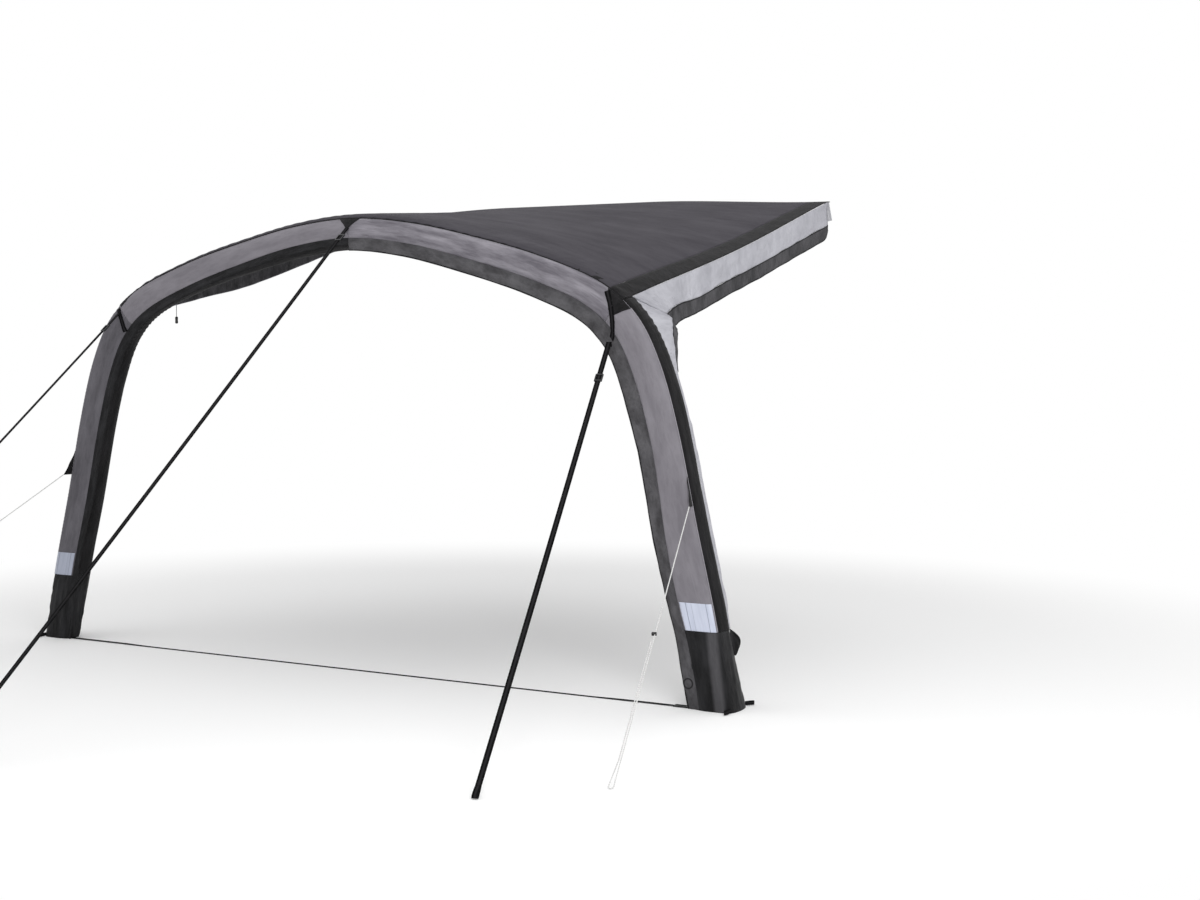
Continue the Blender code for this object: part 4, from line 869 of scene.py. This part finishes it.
def on_half(turned, point):
    """The point on the right half of the arch, where turned is below 0, or its mirror image on the left."""
    return Vector((point.x * (1 if turned < 0 else -1), point.y, point.z))


def roof_point(share, along):
    turned = 2 * share - 1
    station = apex - abs(turned) * (apex - band_edge - row_gap)
    point = roof_surface(station, along, layer - 0.0006)
    from_side = (1 - abs(turned)) * 1.4
    creases = roof_folds(on_half(turned, point).x, point.y, along, from_side)
    return on_half(turned, point + Vector((0, 0, creases)))


roof = lay("roof_cloth", 110, 200, roof_point, roof_flat, roof_cloth)
fit(roof, "roof_panel")


# Edge bands of the roof. Strips of heavy black cloth that take the pull along both sides of the roof, sewn to its
# edge with twin rows of stitches.

band_cloth = woven("band_cloth", paint(12, 12, 13), paint(32, 31, 33), 0.0009, (1, 2.2, 1), lumps=18, cloud=0.7)
for hand in ("right", "left"):
    def band_point(share, along):
        station = mix(corner, band_edge - row_gap, share)
        point = roof_surface(station, along, layer - 0.0006)
        near = math.exp(-along / 0.1)
        rough = fold(along * 30, share * 5, 6.0) * 0.0012 + fold(along * 9, share * 2, 8.0) * 0.002
        crush = math.sin(along * 150 + share * 6) * 0.0022 * near
        room = eased(share_between(0, 0.2, min(share, 1 - share))) * eased(share_between(1.0, 0.97, along))
        return on_side(hand, point) + Vector((0, 0, (rough + crush) * room))

    band = lay(f"band_cloth_{hand}", 150, 10, band_point, (0.1, roof_flat[1]), band_cloth)
    fit(band, f"roof_edge_band_{hand}")


# Seam piping of the roof. A thin cord covered in black cloth, laid between the roof and the grey front and sewn into
# their seam, right across the arch.

black_piping = woven("black_piping", paint(20, 20, 21), paint(34, 33, 35), 0.0001, lumps=60)
seam = []
for i in range(321):
    turned = 2 * i / 320 - 1
    station = apex - abs(turned) * (apex - corner)
    seam.append(on_half(turned, on_sleeve(station, seam_angle, 0.0022 + pucker(station, 0.0) * 0.4)))
fit(tube("roof_piping", seam, 0.0021, black_piping, 2), None)


# Rear edge of the roof. A black welt sewn along it carries a round bead of extruded grey plastic, by which the whole
# roof hangs. The bead's own solid stays.

welt_start = roof_end + 0.0008


def welt_point(share, along):
    x = mix(-rail_half, rail_half, along)
    return Vector((x, mix(welt_start, rail_y - 0.0038, share), rail_z(x) - 0.0012))


welt = lay("rail_welt_cloth", 160, 4, welt_point, (0.018, 2 * rail_half), band_cloth, thickness=0.0022)
fit(welt, "rail_welt")
bead_plastic = Finish("bead_plastic", roughness=0.45, specular=0.5)
scuffs = bead_plastic.clouds(30, 5, 0.6, (0.2, 3, 3), kind="Object")
bead_plastic.colour(bead_plastic.blend(scuffs.rising(0.4, 0.7), paint(186, 186, 184), paint(160, 160, 158)))
bead_plastic.give(Roughness=0.35 + scuffs * 0.25)
bead_plastic.raised(scuffs * 0.0002)


def dress(finish, *names):
    """Gives its finish to each solid of the CAD model that stays."""
    for name in names:
        nodes[name].data.materials.clear()
        nodes[name].data.materials.append(finish.material)


dress(bead_plastic, "rail_bead")


# Side valances. Pale blue-grey cloth that hangs from the roof's edge and turns down behind each leg as a narrow
# gusset. It is thin, so the pull of the shoulder shows in slanting creases.

valance_drop = 0.126
valance_length = 3.9
gusset_width = 0.28
pull_height = 1.76
knot_steps = 14
gusset_tables = {
    "right": ((0.2, 0.07), (0.25, 0.125), (0.45, 0.135), (0.65, 0.125), (0.79, 0.12), (0.86, 0.17), (0.9, 0.35),
              (0.935, 0.6), (0.985, 1.0), (1.05, 1.0)),
    "left": ((0.2, 0.07), (0.25, 0.125), (1.05, 0.15)),
}
valance_tables = {
    "right": ((1.0, 0.0, 1.0), (0.86, 0.0, 1.0), (0.72, 0.0, 1.0), (0.58, 0.0, 1.0), (0.45, 0.0, 1.0),
              (0.30, 0.1, 1.08), (0.18, 0.63, 0.9), (0.02, 2.45, 0.62)),
    "left": ((1.0, 0.0, 1.0), (0.86, 0.0, 1.0), (0.72, 0.0, 1.0), (0.58, 0.0, 1.0), (0.45, 0.0, 0.98),
             (0.30, 0.0, 0.84), (0.18, 0.16, 0.74), (0.06, 0.66, 0.53)),
}
corner_shares = {"right": (0.1, 2.38, 0.58), "left": (0.1, 0.65, 0.62)}


def leg_seam(station, heel=0.0):
    """Where the gusset is sewn to the back of the leg."""
    return on_sleeve(station, back_angle(station, 5), layer, heel)


def valance_lines(hand):
    """The seam and the free edge of a valance, from its rear end to the corner and down the leg."""
    seams, edges = [], []
    for place, back, down in valance_tables[hand]:
        seam = roof_place(corner, place, 0.0) - Vector((0, 0, seam_gap))
        seams.append(seam)
        edges.append(seam + Vector((0, back, -down)) * valance_drop)
    out, back, down = corner_shares[hand]
    seams.append(leg_seam(corner))
    edges.append(seams[-1] + Vector((out, back, -down)) * valance_drop)
    for i in range(1, 14):
        seam = leg_seam(mix(corner, boot_top + row_gap, i / 13))
        width = gusset_width * read_table(gusset_tables[hand], seam.z / corner_height)
        seams.append(seam)
        edges.append(seam + Vector((-0.15, 1, 0)) * width)
    return smooth_line(seams, knot_steps), smooth_line(edges, knot_steps)


def valance_folds(seam, edge, share):
    """Slanting creases, deepest towards the free edge, and a few sharp ones at the shoulder."""
    width = (edge - seam).length
    place = mix(seam, edge, share)
    slanting = fold(place.y * 5 + place.z * 9, place.z * 4 - place.y * 2, 51.0) * 0.0085
    small = fold(place.y * 15 - place.z * 22, place.z * 9, 53.0) * 0.004
    near = math.exp(-((place.z - pull_height) / 0.12) ** 2)
    pull = fold(place.z * 36 + place.y * 7, place.y * 4, 57.0) * 0.005 * near
    room = eased(share_between(0, 0.2, share)) * share_between(0, 0.06, width)
    return (slanting + small + pull) * room


valance_cloth = woven("valance_cloth", paint(164, 164, 171), paint(196, 196, 203), 0.0016, (1.0, 2.2, 1), 0.5,
                      lumps=11, roughness=0.75)
valances = {}
for hand, area in (("right", 0.42), ("left", 0.35)):
    seams, edges = valance_lines(hand)
    steps = len(seams) - 1

    def valance_point(share, along):
        seam, edge = at_row(seams, along * steps), at_row(edges, along * steps)
        folds = Vector((valance_folds(seam, edge, share) - cloth_below, 0, 0))
        return on_side(hand, mix(seam, edge, share) + folds)

    valances[hand] = valance_point
    cloth = lay(f"valance_cloth_{hand}", steps, 16, valance_point, (valance_drop, valance_length), valance_cloth)
    fit(cloth, f"side_valance_{hand}")


# Side flaps. A strip of charcoal cloth bound with black tape. On the right it hangs from the valance's edge and
# tapers out where the gusset meets the leg; on the left it is turned up inside the valance.

side_drop = 0.075
side_flat, turned_flat = (side_drop, 2.6), (0.08, 1.9)
turned_from, turned_to, turned_part = 0.98, 0.34, 0.285
side_corner = 8
gather_height = 1.72
side_end_height = 1.5
side_backs = ((0, 0.0), (5, 0.0), (6, 0.12), (7, 0.3), (side_corner, 0.6))
side_falls = ((0, 0.35), (0.02, 0.56), (0.057, 0.8), (0.1, 0.92), (0.143, 0.97), (0.2, 1.0), (5, 1.0), (6, 1.1),
              (7, 1.35), (side_corner, 1.3))
first_knots = (0, 0.01, 0.02, 0.038, 0.057, 0.08, 0.1, 0.12, 0.143, 0.17)
_, right_edges = valance_lines("right")
corner_top = at_row(right_edges, side_corner * knot_steps)
tops, lows = [], []
for knot in (*first_knots, *[i / knot_steps for i in range(3, knot_steps * 12)]):
    top = at_row(right_edges, knot * knot_steps)
    step = Vector((0, read_table(side_backs, knot), -read_table(side_falls, knot)))
    if knot > side_corner:
        left = share_between(side_end_height, corner_top.z, top.z)
        along_leg = eased(share_between(side_corner + 1, side_corner, knot))
        step = mix(Vector((0.1, 0.62, -0.6)), step, along_leg) * left
        if left == 0:
            break
    tops.append(top)
    lows.append(top + step * side_drop)
side_count = len(tops) - 1
side_cloth = woven("side_cloth", paint(50, 50, 52), paint(84, 83, 86), 0.0013, (1, 2.2, 1), 0.4, lumps=14, cloud=0.8)


def side_point(share, along):
    """A point of the right flap: it follows the valance's creases, waves at its edge and gathers at the shoulder."""
    top, edge = at_row(tops, along * side_count), at_row(lows, along * side_count)
    point = mix(top, edge, share)
    bend = math.exp(-((point.z - gather_height) / 0.09) ** 2)
    wave = fold(point.y * 9 + point.z * 5, share * 1.5, 61.0) * 0.006 * share
    gather = math.sin(point.z * 150 + point.y * 60) * 0.0014 * bend * share_between(0, 0.02, (edge - top).length)
    return point + Vector((valance_folds(top, top, 1.0) + wave + gather - cloth_below, 0, 0))


side_flap = lay("side_flap_cloth_right", side_count, 10, side_point, side_flat, side_cloth)
side_binding = [
    webbing(f"side_binding_{which}", [side_point(share, i / side_count) for i in range(side_count)],
            Vector((0, 0.3, -1)), 0.006, flap_binding, rows=side_count)
    for which, share in (("top", 0.04), ("low", 0.96))
]


def turned_up_point(share, along):
    """A point of the left flap, which lies against the inside of its valance over the first part of its length."""
    return valances["left"](mix(turned_from, turned_to, share), along * turned_part) + Vector((layer, 0, 0))


turned_up = lay("side_flap_cloth_left", 90, 8, turned_up_point, turned_flat, side_cloth)
fit(side_flap, "side_flap_right")
fit(turned_up, "side_flap_left")
for piece in side_binding:
    fit(piece, None)


# Shoulder patches and the apex patch. Heavy black cloth sewn over the front where the straps pull, wrinkled by
# that pull. The two black tapes that run down the front below the apex are not drawn.

patch_cloth = woven("patch_cloth", paint(10, 10, 11), paint(42, 41, 43), 0.0014, (1.5, 1, 1), lumps=22, cloud=0.8)
patch_lift = 0.0019
front_columns = 6
patch_columns = {
    "right": ((2.7, -0.02, 0.018), (4.4, -0.036, 0.055), (5.9, -0.052, 0.085)),
    "left": ((5, 0.01, 0.055), (5.5, 0.012, 0.08), (5.9, 0.01, 0.1)),
}
for hand, columns in patch_columns.items():
    def patch_point(share, along):
        column, start, end = (at_row(values, share * 2) for values in zip(*columns))
        station = corner + mix(start, end, along)
        inside = math.sin(math.pi * share) * math.sin(math.pi * along)
        crush = (math.sin(station * 420 + share * 5) * 0.5 + fold(station * 60, share * 6, 3.3)) * 0.003 * inside
        return on_side(hand, front_surface(station, column / front_columns, hand, patch_lift + abs(crush)))

    fit(lay(f"patch_cloth_{hand}", 40, 24, patch_point, (0.05, 0.09), patch_cloth), f"shoulder_patch_{hand}")
apex_reach = 0.062
apex_columns = ((0.983, 1.0), (0.83, 0.72), (0.667, 0.4), (0.5, 0.12))


def apex_patch_point(share, along):
    """A point of the apex patch, narrower from row to row, on whichever half of the front stands further out."""
    column, reach = (at_row(values, along * 3) for values in zip(*apex_columns))
    turned = 2 * share - 1
    point = front_surface(apex - abs(turned) * apex_reach * reach, column, "right", patch_lift)
    other = front_surface(apex, column, "left", patch_lift)
    point.y = min(point.y, other.y)
    return on_half(turned, point)


fit(lay("apex_patch_cloth", 18, 18, apex_patch_point, (0.12, 0.07), patch_cloth), "apex_patch")


# Anchor bands. Doubled black webbing sewn down the front from each shoulder patch to the flap's edge; the right
# storm strap is sewn to its lower end.

anchor_width = 0.025
anchor_lift = 0.0026
corner_centre, _ = beam_at(corner)
anchor_steps = {
    "right": ((-0.029, 0.094), (-0.007, 0.03), (0.002, -0.04), (-0.004, -0.1), (-0.021, -0.157)),
    "left": ((0.042, 0.036), (0.014, -0.035), (-0.002, -0.086)),
}


def on_front(x, z, hand, lift):
    """The place on the right half's front, folds and all, that is seen at x and z from straight in front."""
    spot = Vector((x, z))
    nearest = min(range(len(spine)), key=lambda i: (spine[i] - spot).length)
    station = spine_lengths[nearest]
    centre, outward = beam_at(station)
    side = (spot - centre).dot(outward)
    low, high = low_angle(station), seam_angle
    on_the_round = side > sleeve_reach(station, low) * -0.7
    for _ in range(20):
        angle = (low + high) / 2
        low, high = (angle, high) if sleeve_reach(station, angle) * math.sin(angle) < side else (low, angle)
    stands = front_folds(station, low, hand) if on_the_round else 0.0
    forward = sleeve_reach(station, low) * math.cos(low)
    return Vector((x, arch_y - forward - max(stands, -0.0005) - lift, z))


for hand, steps in anchor_steps.items():
    route = smooth_line([corner_centre + Vector(step) for step in steps], 12)

    def anchor_point(share, along):
        place = along * (len(route) - 1)
        low = min(int(place), len(route) - 2)
        aside = (route[low + 1] - route[low]).orthogonal().normalized()
        spot = at_row(route, place) + aside * anchor_width * (share - 0.5)
        return on_side(hand, on_front(spot.x, spot.y, hand, anchor_lift))

    band = lay(f"anchor_webbing_{hand}", 50, 8, anchor_point, (anchor_width, length_of(route)), black_webbing, 0.002)
    fit(band, f"strap_anchor_{hand}")


# Guy tabs. A triangle of doubled black cloth sewn by one edge into the outer seam of each leg; it stands forward,
# point down, and the guy line is knotted to its point.

tab_reach = Vector((0.01, -0.052, 0))
for hand in ("right", "left"):
    def tab_point(share, along):
        station = mix(tab_low, tab_high, along)
        seam = on_sleeve(station, seam_angle, 0.0006)
        reach = mix(1.0, 0.05, along ** 0.8) * share
        bow = fold(share * 2, along * 3, 15.0) * 0.004 * share
        return on_side(hand, seam + tab_reach * reach + Vector((bow, 0, 0)))

    fit(lay(f"guy_tab_cloth_{hand}", 20, 10, tab_point, (0.05, 0.13), patch_cloth), f"guy_tab_{hand}")


# Tabs and loops on the boots. A crumpled ear of boot cloth behind the ankle to pull the boot on, and small loops of
# webbing at the heel and the toe for pegs.

ear_reach = 0.052
loop_width, loop_thickness = 0.018, 0.002
heel_starts = {"right": (2.07792, -0.90556, 0.0126), "left": (2.07727, -0.99049, 0.0126)}
toe_start = (2.09969, -1.09824, 0.0126)
for hand, side in (("right", 1), ("left", -1)):
    def ear_point(share, along):
        seam = leg_seam(mix(boot_top * 4 / 6, boot_top - row_gap, along), heels[hand])
        reach = ear_reach * math.sin(math.pi * mix(0.04, 0.96, along))
        rumple = math.sin(share * 9 + along * 7) * 0.004 * share
        point = seam + Vector((0.4, 0.92, 0)) * reach * share + Vector((rumple - cloth_below, -rumple * 0.4, 0))
        return on_side(hand, point)

    fit(lay(f"boot_ear_cloth_{hand}", 20, 10, ear_point, (0.05, 0.12), boot_cloth), f"boot_ear_{hand}")
    for name, node, start, ahead, length in (("heel", "heel_tab", heel_starts[hand], (0.6 * side, 0.8, 0), 0.045),
                                             ("toe", "toe_loop", toe_start, (0, -1, 0), 0.06)):
        loop = webbing_loop(f"{name}_webbing_{hand}", on_side(hand, Vector(start)), Vector(ahead), Vector((0, 0, 1)),
                            length, loop_width, loop_thickness, thin_webbing)
        fit(loop, f"{node}_{hand}")


# Rail tails. Short ends of pale polyester webbing. They are sewn in at both ends of the roof's rear edge and hang
# straight down.

tail_width = 0.03
tail_top, tail_run = Vector((1.58, 1.0971, 2.3958)), Vector((0.02, 0, -0.1))
pale_webbing = webbing_finish("pale_webbing", paint(176, 176, 180), paint(196, 196, 200), tail_width)
for hand, turned in (("right", -1), ("left", 1)):
    line = [on_half(turned, tail_top + tail_run * (i / 8)) for i in range(9)]
    tail = webbing(f"tail_webbing_{hand}", line, Vector((1, 0, 0)), tail_width, pale_webbing, rows=20)
    fit(tail, f"rail_tail_{hand}")


# Moulded plastic: the strap buckles, guy runners, toggle and valve. Their solids stay, in matt black plastic with a
# fine mould grain and edges rubbed a little paler.

moulded = Finish("moulded_plastic", roughness=0.42, specular=0.3)
grain = moulded.clouds(900, 3, 0.6, kind="Object")
rubbed = moulded.clouds(60, 4, 0.6, kind="Object").rising(0.45, 0.8)
moulded.colour(moulded.blend(rubbed, paint(22, 22, 23), paint(46, 46, 48)))
moulded.give(Roughness=0.36 + rubbed * 0.25)
moulded.raised(grain * 0.00008)
dress(moulded, "valve_body", "valve_cap", "storm_buckle_right", "storm_buckle_left", "storm_buckle_centre",
      "guy_runner_right", "guy_runner_left", "ground_buckle", "pull_toggle")


# Air beam. The inflated tube inside the sleeve, of clear, slightly milky film welded along its length. It is pumped
# up through the valve in the right boot.

film = Finish("bladder_film", roughness=0.28, specular=0.5)
milky = film.clouds(7, 4, 0.5, kind="Object")
film.colour(film.blend(milky.rising(0.3, 0.7), paint(176, 182, 190), paint(200, 205, 212)))
film.give(Roughness=0.22 + milky * 0.2)
film.raised(milky * 0.0008)
dress(film, "air_beam")


# Studio. A matt floor that turns to plain white away from the awning, and soft light from two large lamps, above and
# in front. The world gives even light, and what the camera and gloss see of it is plain white.

plain_white = (1, 1, 1, 1)
white_from, white_to = 2.9, 5.2
even_light = 0.55
ground = Finish("studio_floor", roughness=0.9)
ground.colour((0.94, 0.94, 0.94, 1))
distance = ground.node("VectorMath", {"operation": "LENGTH"}, {0: ground.place("Object")}, "Value")
white = ground.node("Emission", {}, {"Color": plain_white, "Strength": 1.0})
away = distance.rising(white_from, white_to)
shown = ground.node("MixShader", {}, {0: away, 1: Value(ground, ground.shader.outputs[0]), 2: white})
ground.plug(ground.tree.nodes["Material Output"].inputs["Surface"], shown)
bm = bmesh.new()
bmesh.ops.create_circle(bm, cap_ends=True, segments=96, radius=60)
mesh = bpy.data.meshes.new("studio_floor")
bm.to_mesh(mesh)
bm.free()
mesh.materials.append(ground.material)
floor = bpy.data.objects.new("studio_floor", mesh)
bpy.context.scene.collection.objects.link(floor)

sky = bpy.data.worlds.new("studio")
bpy.context.scene.world = sky
sky.use_nodes = True
around = Nodes(sky.node_tree)
by_camera, in_gloss = (around.node("LightPath", {}, {}, f"Is {ray} Ray") for ray in ("Camera", "Glossy"))
seen = by_camera.maths("MAXIMUM", in_gloss)
background = around.tree.nodes["Background"].inputs
around.plug(background["Color"], plain_white)
around.plug(background["Strength"], around.node("MapRange", {}, {"Value": seen, "To Min": even_light, "To Max": 1.0}))


def softbox(name, place, aim, size, power):
    light = bpy.data.lights.new(name, "AREA")
    light.shape = "RECTANGLE"
    light.size, light.size_y = size
    light.energy = power
    lamp = bpy.data.objects.new(name, light)
    lamp.location = place
    lamp.rotation_euler = (Vector(aim) - Vector(place)).to_track_quat("-Z", "Y").to_euler()
    bpy.context.scene.collection.objects.link(lamp)


softbox("top", (0.5, -0.8, 6.5), (0.5, -0.8, 0), (13, 11), 340)
softbox("key", (5.2, -5.6, 4.0), (1.0, -0.5, 1.2), (3, 3), 190)
bpy.context.scene.view_settings.view_transform = "Standard"
